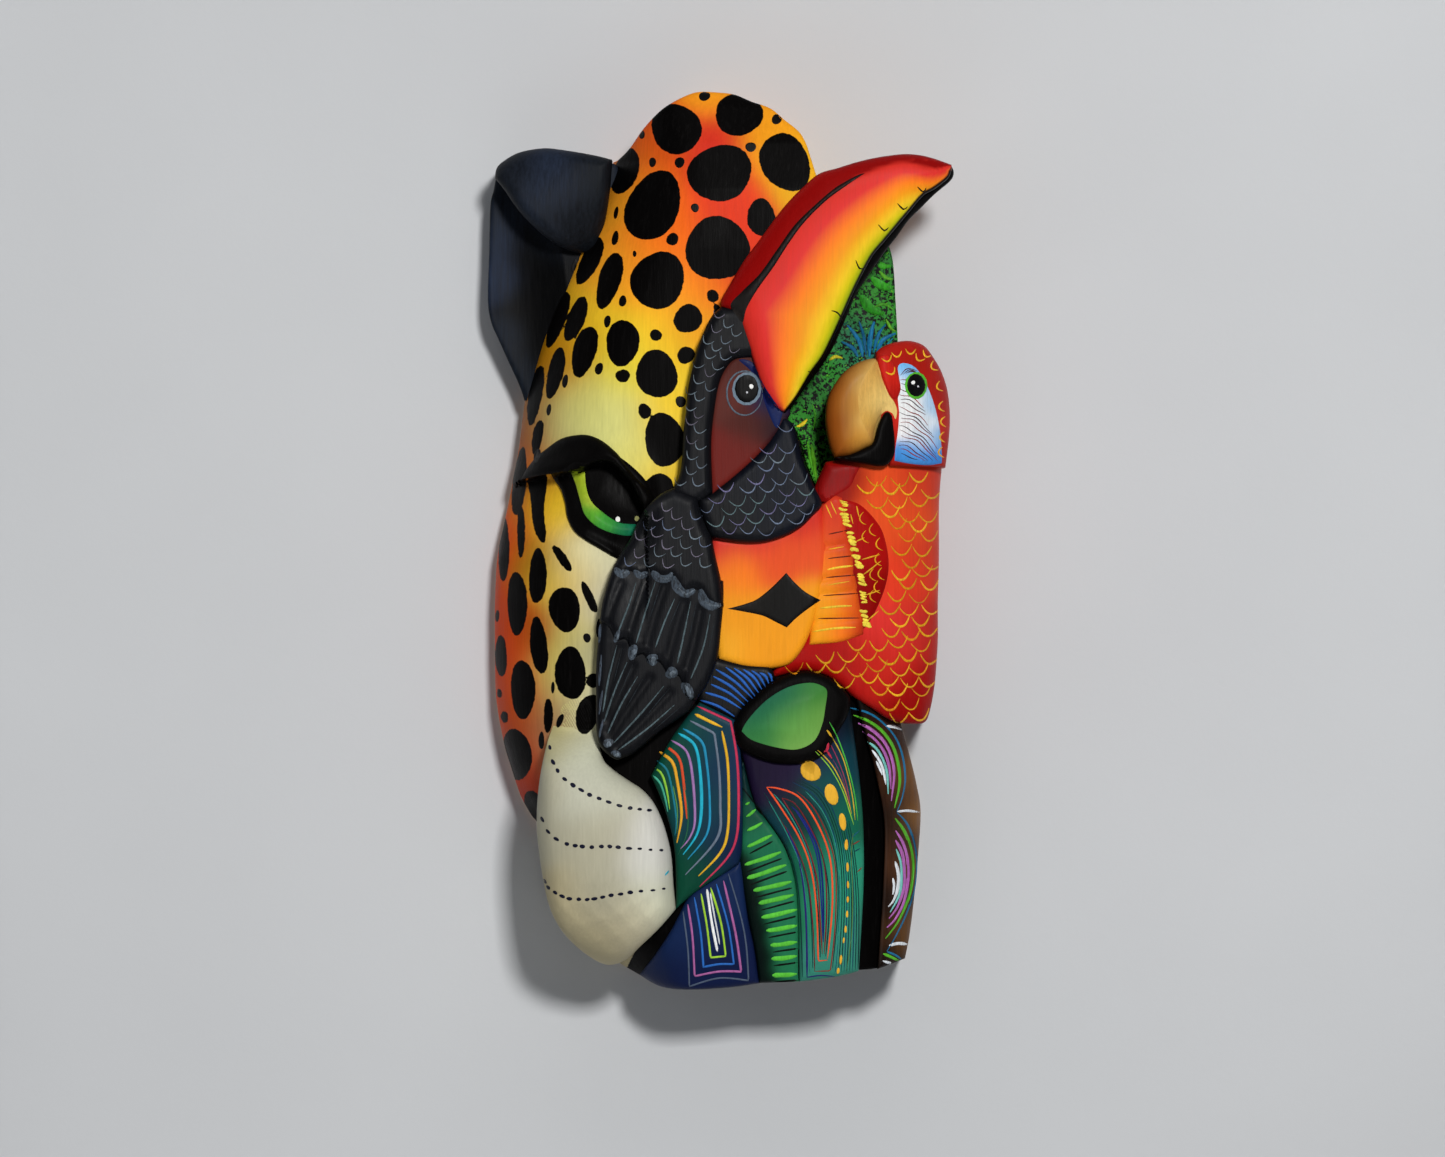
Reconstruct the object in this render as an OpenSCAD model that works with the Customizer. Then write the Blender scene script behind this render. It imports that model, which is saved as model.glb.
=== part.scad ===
// Carved and painted relief mask: spotted cat, toucan and macaw on one hollow shell.
// X is to the right, Z is up, the front faces -Y and the back rim lies on y = 0.
// Outlines are front views in mm, measured from the level of the ear's lower fold;
// the hanger lies hang_z above that level and is the origin of the model.

/* [Shell] */
// Depth of the face at its middle line
face_depth = 68; // [60:1:76]
// Thickness of the carved wall
wall = 14; // [10:1:16]
// Radius that rounds the left side back to the wall
left_round_r = 64; // [58:1:70]
// Radius that rounds the right side back to the wall
right_round_r = 60; // [54:1:64]

/* [Relief] */
// Height of the snout over the wall plane
muzzle_depth = 96; // [88:1:100]
// Height of the toucan's neck over the face
neck_step = 16; // [12:1:18]
// Height of the folded wing over the face
wing_step = 20; // [14:1:22]
// Height of the orange star panel over the face
star_step = 8; // [5:1:10]
// Height of the patterned lower panels over the face
panel_step = 8; // [5:1:10]
// Depth of the eye socket under the face
socket_depth = 8; // [5:1:9]
// Front of the bill over the wall plane, at its root
bill_front = 86; // [82:1:90]
// Front of the bill over the wall plane, at its tip
bill_tip_front = 76; // [72:1:80]
// Front of the leaf board over the wall plane
foliage_front = 42; // [40:1:46]
// Thickness of the leaf board
foliage_t = 4; // [3:1:6]
// Front of the macaw's body over the wall plane
macaw_front = 72; // [68:1:76]
// Height of the macaw's head over its body
macaw_head_step = 7; // [4:1:9]

/* [Hanger] */
// Width of the keyhole plate
plate_w = 32; // [28:1:34]
// Height of the keyhole plate
plate_h = 19; // [18:1:20]
// Thickness of the keyhole plate
plate_t = 1.6; // [1.2:0.2:2]
// Radius of the round hole that a screw head enters
keyhole_r = 4.5; // [4:0.25:5]
// Half width of the slot that holds the screw's neck
keyslot_r = 2.2; // [1.8:0.1:2.5]
// Rise of the slot over the round hole
keyslot_rise = 8.5; // [7:0.5:9]
// Distance between the two plate screws
screw_pitch = 24; // [20:1:26]
// Shank radius of a plate screw
screw_r = 1.5; // [1.25:0.25:1.75]
// Length of a plate screw
screw_len = 12; // [8:1:14]

/* [Hidden] */
$fn = 96;
hang_z = 47;
reach = 400;
front_reach = 130;
cut = 1;

// The two leaning cylinders that round the face's left side, and the upright one on its right.
rim_depth = 4;
left_top_at = [-30, -166];
left_top_lean = 14.6;
left_foot_at = [-34, -158];
left_foot_lean = -16.1;
left_foot_r = left_round_r - 4;
right_axis = [32, 0];
right_rim_depth = 8;

// The ear's scooped cup and its rolled fold.
ear_back = 4;
ear_cup_front = 32;
cup_axis = [-78, -50, -20];
cup_lean = 8;
cup_r = 29;
cup_len = 130;
ear_fold_front = 50;
ear_fold_back = 30;
fold_axis = [-66, -10, 20];
fold_lean = 60;
fold_r = 40;
fold_len = 160;

// The snout, the brow and the eye.
chin_r = 52;
chin_z = -252;
snout_r = 36;
snout_x = -43;
brow_step = 5;
eye_drop = 2.5;

// How far each raised piece stands below or above its group's height.
cheek_drop = 4;
breast_drop = 2;
shoulder_drop = 1;
primaries_drop = 2;
leaf_rim_rise = 6;
leaf_rise = 4;
hex_rise = 2;
nested_drop = 1;
bar_drop = 2;
side_drop = 1;

// The bill, wide at its root and thinner towards its tip.
bill_back = 58;
bill_tip_back = 62;
bill_strip_step = 3;
bill_flat_x = 40;
bill_back_x = 50;
bill_end_x = 108;

// The macaw's round body and the heights of its parts over it.
macaw_back = 12;
macaw_r = 52;
macaw_axis = [52, 0];
beak_rise = 1;
hook_drop = 3;
wing_rise = 2;
lobe_drop = 2;

// How far the side profile runs on past its first and last heights.
side_spare = 40;

// The hanger and the pocket behind it.
plate_drop = 3;
plate_gap = 0.1;
key_pocket_depth = 10;
key_pocket_r = keyhole_r + 1.5;
slot_pocket_r = key_pocket_r - 2;
screw_head_r = 2.9;
screw_head_h = 1.4;
pilot_extra = 0.5;

// Front outlines. A point given twice is a corner, and the others lie on a smooth curve.
shell_line = [[-41, 38], [-38, 39.5], [-33, 44], [-27, 52], [-20, 59], [-14, 63], [-8, 66],
    [-3, 67.3], [5, 67], [12, 66], [19, 63], [27, 60], [33, 55], [39, 50], [42, 45], [44, 39],
    [46.5, 31], [46.5, 31], [60, 12], [77, 3], [77, 3], [79, -5], [80, -20], [81, -39],
    [86, -70], [91, -110], [92, -160], [90, -185], [82, -201], [82, -201], [86, -214],
    [89, -226], [91, -238], [90, -255], [88, -275], [86, -290], [84, -300], [84, -300],
    [72, -304], [60, -305], [46, -308.5], [26, -309.5], [10, -311.5], [-8, -312.5],
    [-20, -311.5], [-30, -307], [-30, -307], [-42, -300], [-56, -286], [-66, -262],
    [-72, -245], [-76, -240], [-80, -232], [-84, -220], [-87, -210], [-90.5, -190],
    [-91, -170], [-91, -150], [-90, -130], [-87, -115], [-84, -100], [-81, -85], [-78, -62],
    [-76, -56], [-72, -40], [-66, -20], [-58, 0], [-51, 15], [-45, 28]];
cavity_line = [[-22, 26], [-6, 31], [10, 26], [19, 0], [20, -60], [27, -102], [62, -116],
    [73, -150], [73, -240], [70, -280], [60, -292], [0, -298], [-40, -284], [-56, -258],
    [-70, -215], [-76, -170], [-74, -130], [-66, -80], [-50, -20], [-36, 12]];
ear_line = [[-38, 30], [-41, 38], [-41, 38], [-48, 40.5], [-62, 43], [-70, 43.7], [-80, 42],
    [-87, 38], [-89.5, 35], [-91, 27], [-92.5, 20], [-93, 0], [-93.5, -20], [-92, -30],
    [-89, -37], [-85, -46], [-80, -57], [-78, -63], [-78, -63], [-70, -62], [-50, -20]];
ear_fold_line = [[-38, 30], [-41, 38], [-41, 38], [-48, 40.5], [-62, 43], [-70, 43.7],
    [-80, 42], [-87, 38], [-89.5, 35], [-90, 31], [-90, 31], [-86, 26], [-82, 20], [-78, 15],
    [-72, 9], [-67, 5], [-62, 2], [-57, 0], [-57, 0], [-50, -2]];
brow_line = [[-79, -97], [-79, -97], [-77, -93], [-73, -88], [-68, -84], [-62, -80],
    [-56, -78.5], [-50, -78.5], [-44, -81], [-38, -86], [-34, -91], [-30, -96], [-25, -101],
    [-25, -101], [-25, -109], [-25, -109], [-28, -105], [-31, -100], [-35, -95], [-40, -90.5],
    [-46, -90], [-54, -93], [-62, -94.5], [-70, -95.5]];
eye_line = [[-66, -92], [-66, -92], [-64, -97], [-62, -101], [-60, -107], [-59, -113],
    [-56, -119], [-51, -123], [-46, -126], [-41, -129], [-38, -131], [-38, -131],
    [-33, -124], [-29, -116], [-26, -110], [-26, -106], [-26, -106], [-29, -100],
    [-33, -94.5], [-37, -89.5], [-43, -86], [-50, -85], [-58, -87]];
muzzle_line = [[-52, -200], [-60, -201], [-66, -207], [-70, -222], [-71.5, -235],
    [-71.5, -245], [-70, -257], [-68, -270], [-65, -280], [-61, -287], [-55, -294],
    [-49, -299], [-44, -302], [-40, -302.5], [-34, -300], [-28, -294], [-20, -286],
    [-13, -278], [-13, -278], [-14, -268], [-15, -255], [-18, -243], [-22, -234], [-27, -228],
    [-33, -224], [-40, -219], [-44, -214], [-46, -206]];
neck_line = [[6, -25], [6, -25], [2, -29], [-1, -35], [-4, -42], [-6, -50], [-8, -60],
    [-9, -70], [-10, -80], [-10.5, -90], [-12, -97], [-14, -101], [-14, -101], [-6, -106],
    [2.5, -103], [2.5, -103], [2, -90], [2, -80], [3, -70], [5, -58], [8, -51], [12, -47],
    [20, -46], [20, -46], [22, -36], [16, -26]];
toucan_cheek_line = [[20, -46], [20, -46], [12, -47], [8, -51], [5, -58], [3, -70], [2, -80],
    [2, -90], [2.5, -103], [2.5, -103], [10, -97], [18, -90], [24, -84], [28, -79], [33, -72],
    [33, -72], [30, -60]];
breast_line = [[2.5, -103], [2.5, -103], [10, -97], [18, -90], [24, -84], [28, -79], [32, -72],
    [32, -72], [36, -74], [38, -80], [40, -88], [42, -93], [45, -100], [48, -106], [48, -109],
    [45, -112], [40, -117], [33, -121], [25, -123.5], [17, -124], [8, -123], [2, -121.5],
    [0, -118], [-3, -110], [-6, -106], [-6, -106]];
upper_bill_line = [[6, -25], [6, -25], [6, -22], [10, -15], [16, -5], [22, 3], [30, 14],
    [35, 20], [40, 25], [47, 31], [55, 33.5], [63, 36], [70, 37.7], [78, 39], [84, 39.5],
    [90, 39], [96, 37.5], [103, 35], [103, 35], [102, 30], [96, 25], [91, 22], [85, 15],
    [80, 9], [75, 3], [70, -3], [66, -10], [62, -18], [58, -27], [54, -36], [49, -46],
    [44, -53], [38, -63], [33, -69], [33, -69], [28, -66], [24, -60], [21, -52], [18, -43],
    [15, -34], [13, -28]];
lower_bill_line = [[103, 35], [103, 35], [104, 33], [103.8, 30.5], [102, 28], [96, 23],
    [90, 17], [85, 12], [80, 5], [76, 0], [71, -7], [67, -13], [63, -19], [60, -26],
    [57, -33], [53, -42], [48, -50], [42, -58], [37, -65], [34, -70], [31, -74], [31, -74],
    [32, -66], [44, -44], [60, -12], [84, 18]];
shoulder_line = [[-14, -101], [-14, -101], [-20, -104], [-26, -110], [-29, -115],
    [-32, -122], [-36, -128], [-39.5, -134.5], [-39.5, -134.5], [-33, -137.5], [-24, -138],
    [-14, -140], [-4, -145], [3, -149], [7, -149], [7, -149], [6, -140], [4, -131],
    [2, -122], [0, -118], [-3, -110], [-6, -106], [-6, -106]];
coverts_line = [[-39.5, -134.5], [-39.5, -134.5], [-42, -142], [-44, -150], [-45, -157],
    [-45, -157], [-37, -164], [-30, -171], [-22, -176], [-14, -181], [-7, -188], [-3, -188],
    [-3, -188], [0, -184], [3, -177], [5, -170], [6, -160], [7, -149], [7, -149], [3, -149],
    [-4, -145], [-14, -140], [-24, -138], [-33, -137.5]];
primaries_line = [[-45, -157], [-45, -157], [-46, -168], [-46.5, -178], [-46.5, -190],
    [-46, -200], [-45, -208], [-42, -212], [-38, -214.5], [-34, -214], [-30, -212],
    [-24, -207], [-18, -202], [-12, -198], [-7, -194], [-3, -188], [-3, -188], [-7, -188],
    [-14, -181], [-22, -176], [-30, -171], [-37, -164]];
star_line = [[2, -122], [2, -122], [8, -123], [17, -124], [25, -123.5], [33, -121],
    [40, -117], [45, -112], [48.5, -109], [48.5, -109], [50, -116], [51, -125], [51, -130],
    [50, -138], [48, -146], [46, -155], [43, -163], [40, -169], [36, -174], [32, -176],
    [24, -177], [15, -176], [5, -173], [5, -173], [3, -160], [4, -140]];
macaw_head_line = [[71, -46], [71, -46], [72, -43], [76, -40.5], [82, -39], [87, -39],
    [92, -41], [96, -46], [99.5, -52], [102, -60], [103, -70], [102.5, -80], [101, -91],
    [101, -91], [77, -91], [77, -91], [76, -70]];
macaw_beak_line = [[71, -46.5], [71, -46.5], [64, -48], [58, -52], [54, -57], [51, -63],
    [50, -70], [50.5, -77], [52, -84], [54, -88], [54, -88], [60, -87], [66, -84],
    [70, -82], [72, -75], [75, -69], [80, -68], [80, -68], [79, -64], [76, -58], [73, -52]];
macaw_hook_line = [[70, -82], [72, -75], [75, -69], [78, -71], [79, -76], [79.5, -82],
    [79, -87], [76, -91], [72, -91.5], [66, -90.5], [58, -89.5], [54, -88], [54, -88],
    [60, -87], [66, -84]];
macaw_body_line = [[50, -91], [50, -91], [70, -88], [101, -91], [101, -91], [99, -100],
    [98.5, -110], [98.5, -130], [98, -150], [98, -165], [97, -180], [96, -188],
    [94.5, -195], [93, -199], [90, -200.5], [82, -200], [76, -198], [70, -194], [62, -189],
    [56, -184], [50, -180], [42, -178], [35, -179], [27, -181], [27, -181], [30, -174],
    [42, -160], [48, -130], [47, -110], [46, -103]];
wing_band_line = [[48.5, -109], [48.5, -109], [53, -104.5], [57, -105], [57, -105],
    [58, -120], [61, -135], [64, -150], [66, -162.5], [66, -162.5], [62, -164], [55, -166],
    [44, -166], [44, -166], [48, -130]];
wing_lobe_line = [[57, -105], [57, -105], [64, -106], [70, -111], [75, -118], [77.5, -127],
    [78, -135], [76.5, -143], [73, -152], [69, -159], [66, -162.5], [66, -162.5],
    [60, -150], [57, -130]];
foliage_line = [[77, 3], [77, 3], [79, -5], [80, -20], [81, -39], [81, -52], [81, -52],
    [72, -92], [47, -102], [47, -102], [42, -90], [39, -80], [33, -70], [33, -70], [40, -50],
    [52, -20], [64, 0]];
leaf_rim_line = [[11, -200], [11, -200], [15, -193], [20, -188], [25, -183.5], [30, -181],
    [36, -178.7], [42, -178], [47, -179], [52, -181], [57, -185], [60, -190], [58, -197],
    [55, -204], [51, -211], [46, -215], [38, -217], [28, -216.5], [19, -213.5], [13, -209]];
leaf_line = [[14, -201], [18, -194], [24, -188], [30, -184], [36, -182], [42, -181.5],
    [48, -184], [52, -188], [52, -188], [51, -193], [49, -200], [47, -206], [43, -210],
    [36, -211.5], [28, -211], [20, -208], [15, -206]];
ray_line = [[5, -173], [5, -173], [15, -176], [24, -177], [27, -181], [27, -181], [22, -186],
    [17, -191], [12, -198.5], [12, -198.5], [-3, -191], [-3, -191], [-3, -188], [-3, -188],
    [0, -184], [3, -177]];
hex_line = [[-3, -191], [-3, -191], [12, -198.5], [12, -198.5], [14, -210], [15, -225],
    [15, -250], [13.5, -259], [13.5, -259], [5, -264.5], [-5, -271], [-13, -278],
    [-13, -278], [-13, -265], [-14, -250], [-18, -235], [-23.5, -222], [-23.5, -222],
    [-16, -208], [-9, -198]];
nested_line = [[-13, -279], [-13, -279], [-5, -271], [5, -264.5], [13.5, -259], [13.5, -259],
    [17, -280], [20, -295], [22, -309.7], [22, -309.7], [10, -311.5], [-8, -312.5],
    [-20, -311.5], [-29, -307], [-29, -307], [-21, -294]];
bar_line = [[15, -216], [15, -216], [20, -233], [25, -240], [33, -252], [37, -265],
    [38.5, -280], [39, -309], [39, -309], [22, -309.7], [22, -309.7], [20, -295], [17, -280],
    [13.5, -259], [13.5, -259], [15, -250], [15, -225]];
stripe_line = [[12, -205], [12, -205], [40, -200], [56, -192], [60, -190], [60, -190],
    [62, -205], [64.5, -225], [66, -245], [66, -270], [64, -304.5], [64, -304.5], [54, -307],
    [39, -309], [39, -309], [38.5, -280], [37, -265], [33, -252], [25, -240], [20, -233],
    [15, -216], [15, -216]];
side_line = [[64, -189], [64, -189], [70, -194], [76, -198], [82, -201], [82, -201],
    [86, -214], [89, -226], [91, -238], [90, -255], [88, -275], [86, -290], [84, -300],
    [84, -300], [72, -304], [72, -304], [74, -275], [75, -245], [72, -225], [67, -205]];

// Smooth closed curve through hand-set points (Catmull-Rom).
function bend(a, b, c, d, t) = 0.5 * (2 * b + (c - a) * t + (2 * a - 5 * b + 4 * c - d) * t * t
    + (3 * b - a - 3 * c + d) * t * t * t);
function loop(p, n) = [for (i = [0 : len(p) - 1]) let (m = len(p), a = p[(i + m - 1) % m],
    b = p[i], c = p[(i + 1) % m], d = p[(i + 2) % m]) if (b != c)
    for (k = [0 : n - 1]) bend(a, b, c, d, k / n)];

// Depth of the face along its height, as [height, share of the full depth].
side_curve = [[70, 0.70], [60, 0.80], [45, 0.89], [25, 0.96], [0, 0.99], [-60, 1], [-250, 1],
    [-280, 0.96], [-300, 0.90], [-316, 0.82]];

module frame_place() {
    translate([0, 0, -hang_z]) children();
}

module prism(outline, front = front_reach, back = 0) {
    translate([0, -back, 0]) rotate([90, 0, 0])
        linear_extrude(height = front - back) polygon(loop(outline, 2));
}

module side_prism(step) {
    top = side_curve[0][0] + side_spare;
    foot = side_curve[len(side_curve) - 1][0] - side_spare;
    front = [for (p = side_curve) [-(face_depth * p[1] + step), p[0]]];
    rotate([90, 0, 90]) linear_extrude(height = reach, center = true)
        polygon(concat([[0, top], [front[0][0], top]], front,
            [[front[len(front) - 1][0], foot], [0, foot]]));
}

// Everything on one side of a rounding cylinder, whose axis leans by tilt.
module rounded_side(at, tilt, r, axis_depth, side) {
    translate([at[0], -axis_depth, at[1]]) rotate([0, tilt, 0]) {
        cylinder(r = r, h = 3 * reach, center = true);
        translate([side > 0 ? 0 : -reach, -r, -1.5 * reach]) cube([reach, 2 * r, 3 * reach]);
    }
}

// The face's general form, grown outwards by step.
module crown(step) {
    intersection() {
        side_prism(step);
        rounded_side(left_top_at, left_top_lean, left_round_r + step, rim_depth, 1);
        rounded_side(left_foot_at, left_foot_lean, left_foot_r + step, rim_depth, 1);
        rounded_side(right_axis, 0, right_round_r + step, right_rim_depth, -1);
    }
}

module macaw_form(step) {
    intersection() {
        rounded_side(macaw_axis, 0, macaw_r + step, macaw_front - macaw_r, -1);
        translate([0, -front_reach, -reach]) cube([reach, front_reach - macaw_back, 2 * reach]);
    }
}

module relief(outline, step) {
    difference() {
        intersection() {
            prism(outline);
            crown(step);
        }
        crown(0);
    }
}

module shell_body() {
    intersection() {
        prism(shell_line);
        crown(0);
    }
}

module mask_shell() {
    color("goldenrod") frame_place() difference() {
        shell_body();
        intersection() {
            prism(cavity_line);
            crown(-wall);
        }
        difference() {
            union() {
                prism(eye_line);
                prism(brow_line);
            }
            crown(-socket_depth);
        }
        prism(foliage_line, front_reach, foliage_front - foliage_t);
        keyhole_pocket();
    }
}

module keyhole_pocket() {
    plate_block(plate_gap, plate_t);
    translate([0, 0, hang_z]) rotate([90, 0, 0]) {
        cylinder(r = key_pocket_r, h = key_pocket_depth);
        translate([0, keyslot_rise, 0]) cylinder(r = slot_pocket_r, h = key_pocket_depth);
        translate([-slot_pocket_r, 0, 0]) cube([2 * slot_pocket_r, keyslot_rise, key_pocket_depth]);
    }
    screw_places() cylinder(r = screw_r, h = screw_len + pilot_extra);
}

module screw_places() {
    for (x = [-screw_pitch / 2, screw_pitch / 2])
        translate([x, 0, hang_z + plate_drop]) rotate([90, 0, 0]) children();
}

module plate_block(gap, t) {
    translate([-plate_w / 2 - gap, -t, hang_z + plate_drop - plate_h / 2 - gap])
        cube([plate_w + 2 * gap, t, plate_h + 2 * gap]);
}

module cat_ear_cup() {
    color("darkslategray") frame_place() difference() {
        prism(ear_line, ear_cup_front, ear_back);
        shell_body();
        translate(cup_axis) rotate([0, -cup_lean, 0]) cylinder(r = cup_r, h = cup_len, center = true);
        prism(ear_fold_line, front_reach, ear_fold_back);
    }
}

module cat_ear_fold() {
    color("midnightblue") frame_place() difference() {
        intersection() {
            prism(ear_fold_line, ear_fold_front, ear_fold_back);
            translate(fold_axis) rotate([0, fold_lean, 0])
                cylinder(r = fold_r, h = fold_len, center = true);
        }
        shell_body();
    }
}

module cat_brow() {
    color("black") frame_place() difference() {
        intersection() {
            prism(brow_line);
            crown(brow_step);
        }
        crown(-socket_depth);
    }
}

module cat_eye() {
    color("yellowgreen") frame_place() difference() {
        intersection() {
            prism(eye_line);
            crown(-eye_drop);
        }
        crown(-socket_depth);
        prism(brow_line);
    }
}

module cat_muzzle() {
    color("beige") frame_place() difference() {
        intersection() {
            prism(muzzle_line);
            translate([0, chin_r - muzzle_depth, chin_z]) rotate([0, 90, 0])
                cylinder(r = chin_r, h = reach, center = true);
            translate([snout_x, snout_r - muzzle_depth, 0])
                cylinder(r = snout_r, h = 2 * reach, center = true);
        }
        crown(0);
    }
}

module toucan_neck() {
    color("dimgray") frame_place() difference() {
        relief(neck_line, neck_step);
        bill_space();
    }
}

module toucan_cheek() {
    color("maroon") frame_place() difference() {
        relief(toucan_cheek_line, neck_step - cheek_drop);
        bill_space();
    }
}

module toucan_breast() {
    color("dimgray") frame_place() difference() {
        relief(breast_line, neck_step - breast_drop);
        bill_space();
        prism(toucan_cheek_line);
    }
}

module bill_space() {
    prism(upper_bill_line, front_reach, bill_back);
    prism(lower_bill_line, front_reach, bill_back);
}

module bill_form(step) {
    translate([0, 0, -reach / 2]) linear_extrude(height = reach)
        polygon([[0, -bill_back], [0, step - bill_front], [bill_flat_x, step - bill_front],
            [bill_end_x, step - bill_tip_front], [bill_end_x, -bill_tip_back],
            [bill_back_x, -bill_back]]);
}

module toucan_upper_bill() {
    color("orangered") frame_place() difference() {
        intersection() {
            prism(upper_bill_line);
            bill_form(0);
        }
        shell_body();
        prism(foliage_line, foliage_front, 0);
    }
}

module toucan_lower_bill() {
    color("black") frame_place() difference() {
        intersection() {
            prism(lower_bill_line);
            bill_form(bill_strip_step);
        }
        prism(upper_bill_line);
        shell_body();
    }
}

module toucan_shoulder() {
    color("dimgray") frame_place() difference() {
        relief(shoulder_line, wing_step - shoulder_drop);
        prism(neck_line);
        prism(breast_line);
    }
}

module toucan_coverts() {
    color("slategray") frame_place() relief(coverts_line, wing_step);
}

module toucan_primaries() {
    color("darkslategray") frame_place() relief(primaries_line, wing_step - primaries_drop);
}

module star_panel() {
    color("orange") frame_place() difference() {
        relief(star_line, star_step);
        prism(shoulder_line);
        prism(coverts_line);
        prism(breast_line);
    }
}

module macaw_solid(outline, step) {
    difference() {
        intersection() {
            prism(outline);
            macaw_form(step);
        }
        shell_body();
        prism(foliage_line, foliage_front, 0);
    }
}

module macaw_head() {
    color("crimson") frame_place() difference() {
        macaw_solid(macaw_head_line, macaw_head_step);
        prism(macaw_beak_line);
        prism(macaw_hook_line);
    }
}

module macaw_upper_beak() {
    color("burlywood") frame_place() difference() {
        macaw_solid(macaw_beak_line, macaw_head_step + beak_rise);
        prism(macaw_hook_line);
    }
}

module macaw_lower_beak() {
    color("black") frame_place() macaw_solid(macaw_hook_line, macaw_head_step - hook_drop);
}

module macaw_body() {
    color("firebrick") frame_place() difference() {
        macaw_solid(macaw_body_line, 0);
        prism(macaw_head_line);
        prism(macaw_hook_line);
        prism(macaw_beak_line);
        prism(wing_band_line);
        prism(wing_lobe_line);
        prism(star_line);
        prism(breast_line);
        prism(leaf_rim_line);
    }
}

module macaw_wing() {
    color("darkorange") frame_place() difference() {
        macaw_solid(wing_band_line, wing_rise);
        prism(star_line);
        prism(breast_line);
    }
}

module macaw_wing_lobe() {
    color("darkred") frame_place() difference() {
        macaw_solid(wing_lobe_line, -lobe_drop);
        prism(wing_band_line);
    }
}

module foliage_panel() {
    color("forestgreen") frame_place() difference() {
        prism(foliage_line, foliage_front, foliage_front - foliage_t);
        prism(breast_line);
    }
}

module leaf_rim() {
    color("black") frame_place() difference() {
        relief(leaf_rim_line, panel_step + leaf_rim_rise);
        prism(leaf_line);
    }
}

module leaf_blade() {
    color("seagreen") frame_place() relief(leaf_line, panel_step + leaf_rise);
}

module ray_panel() {
    color("royalblue") frame_place() difference() {
        relief(ray_line, panel_step);
        prism(star_line);
        prism(leaf_rim_line);
        prism(coverts_line);
        prism(primaries_line);
    }
}

module hex_panel() {
    color("teal") frame_place() difference() {
        relief(hex_line, panel_step + hex_rise);
        prism(muzzle_line);
        prism(primaries_line);
        prism(leaf_rim_line);
    }
}

module nested_panel() {
    color("navy") frame_place() difference() {
        relief(nested_line, panel_step - nested_drop);
        prism(hex_line);
        prism(muzzle_line);
    }
}

module bar_panel() {
    color("darkgreen") frame_place() difference() {
        relief(bar_line, panel_step - bar_drop);
        prism(hex_line);
        prism(nested_line);
        prism(leaf_rim_line);
    }
}

module stripe_panel() {
    color("darkcyan") frame_place() difference() {
        relief(stripe_line, panel_step);
        prism(bar_line);
        prism(hex_line);
        prism(leaf_rim_line);
    }
}

module side_panel() {
    color("saddlebrown") frame_place() difference() {
        relief(side_line, panel_step - side_drop);
        prism(macaw_body_line);
    }
}

module keyhole_plate() {
    color("silver") frame_place() difference() {
        plate_block(0, plate_t);
        translate([0, cut, hang_z]) rotate([90, 0, 0])
            cylinder(r = keyhole_r, h = plate_t + 2 * cut);
        translate([0, cut, hang_z + keyslot_rise]) rotate([90, 0, 0])
            cylinder(r = keyslot_r, h = plate_t + 2 * cut);
        translate([-keyslot_r, -plate_t - cut, hang_z])
            cube([2 * keyslot_r, plate_t + 2 * cut, keyslot_rise]);
        screw_places() cylinder(r1 = screw_head_r, r2 = screw_r, h = screw_head_h);
        screw_places() cylinder(r = screw_r, h = plate_t + cut);
    }
}

module hanger_screws() {
    color("gray") frame_place() screw_places() {
        cylinder(r1 = screw_head_r, r2 = screw_r, h = screw_head_h);
        cylinder(r = screw_r, h = screw_len);
    }
}

mask_shell();
cat_ear_cup();
cat_ear_fold();
cat_brow();
cat_eye();
cat_muzzle();
toucan_neck();
toucan_cheek();
toucan_breast();
toucan_upper_bill();
toucan_lower_bill();
toucan_shoulder();
toucan_coverts();
toucan_primaries();
star_panel();
macaw_head();
macaw_upper_beak();
macaw_lower_beak();
macaw_body();
macaw_wing();
macaw_wing_lobe();
foliage_panel();
leaf_rim();
leaf_blade();
ray_panel();
hex_panel();
nested_panel();
bar_panel();
stripe_panel();
side_panel();
keyhole_plate();
hanger_screws();
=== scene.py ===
import math

import bmesh
import bpy
import numpy as np
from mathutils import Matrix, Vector
from mathutils.bvhtree import BVHTree
from mathutils.geometry import delaunay_2d_cdt


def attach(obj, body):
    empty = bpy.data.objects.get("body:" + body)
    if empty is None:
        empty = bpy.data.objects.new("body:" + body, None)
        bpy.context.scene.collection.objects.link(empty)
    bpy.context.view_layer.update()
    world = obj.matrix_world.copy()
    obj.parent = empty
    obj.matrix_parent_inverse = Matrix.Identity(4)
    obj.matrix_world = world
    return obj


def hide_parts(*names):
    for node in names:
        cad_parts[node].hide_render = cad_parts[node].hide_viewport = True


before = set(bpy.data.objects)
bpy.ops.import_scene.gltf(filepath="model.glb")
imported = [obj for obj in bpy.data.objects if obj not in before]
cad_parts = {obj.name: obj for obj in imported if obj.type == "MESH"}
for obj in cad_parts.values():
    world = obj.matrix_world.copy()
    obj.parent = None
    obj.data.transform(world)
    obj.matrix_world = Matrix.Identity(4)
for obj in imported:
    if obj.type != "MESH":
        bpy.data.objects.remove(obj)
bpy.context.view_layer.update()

RANDOM = np.random.default_rng(41)

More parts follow.
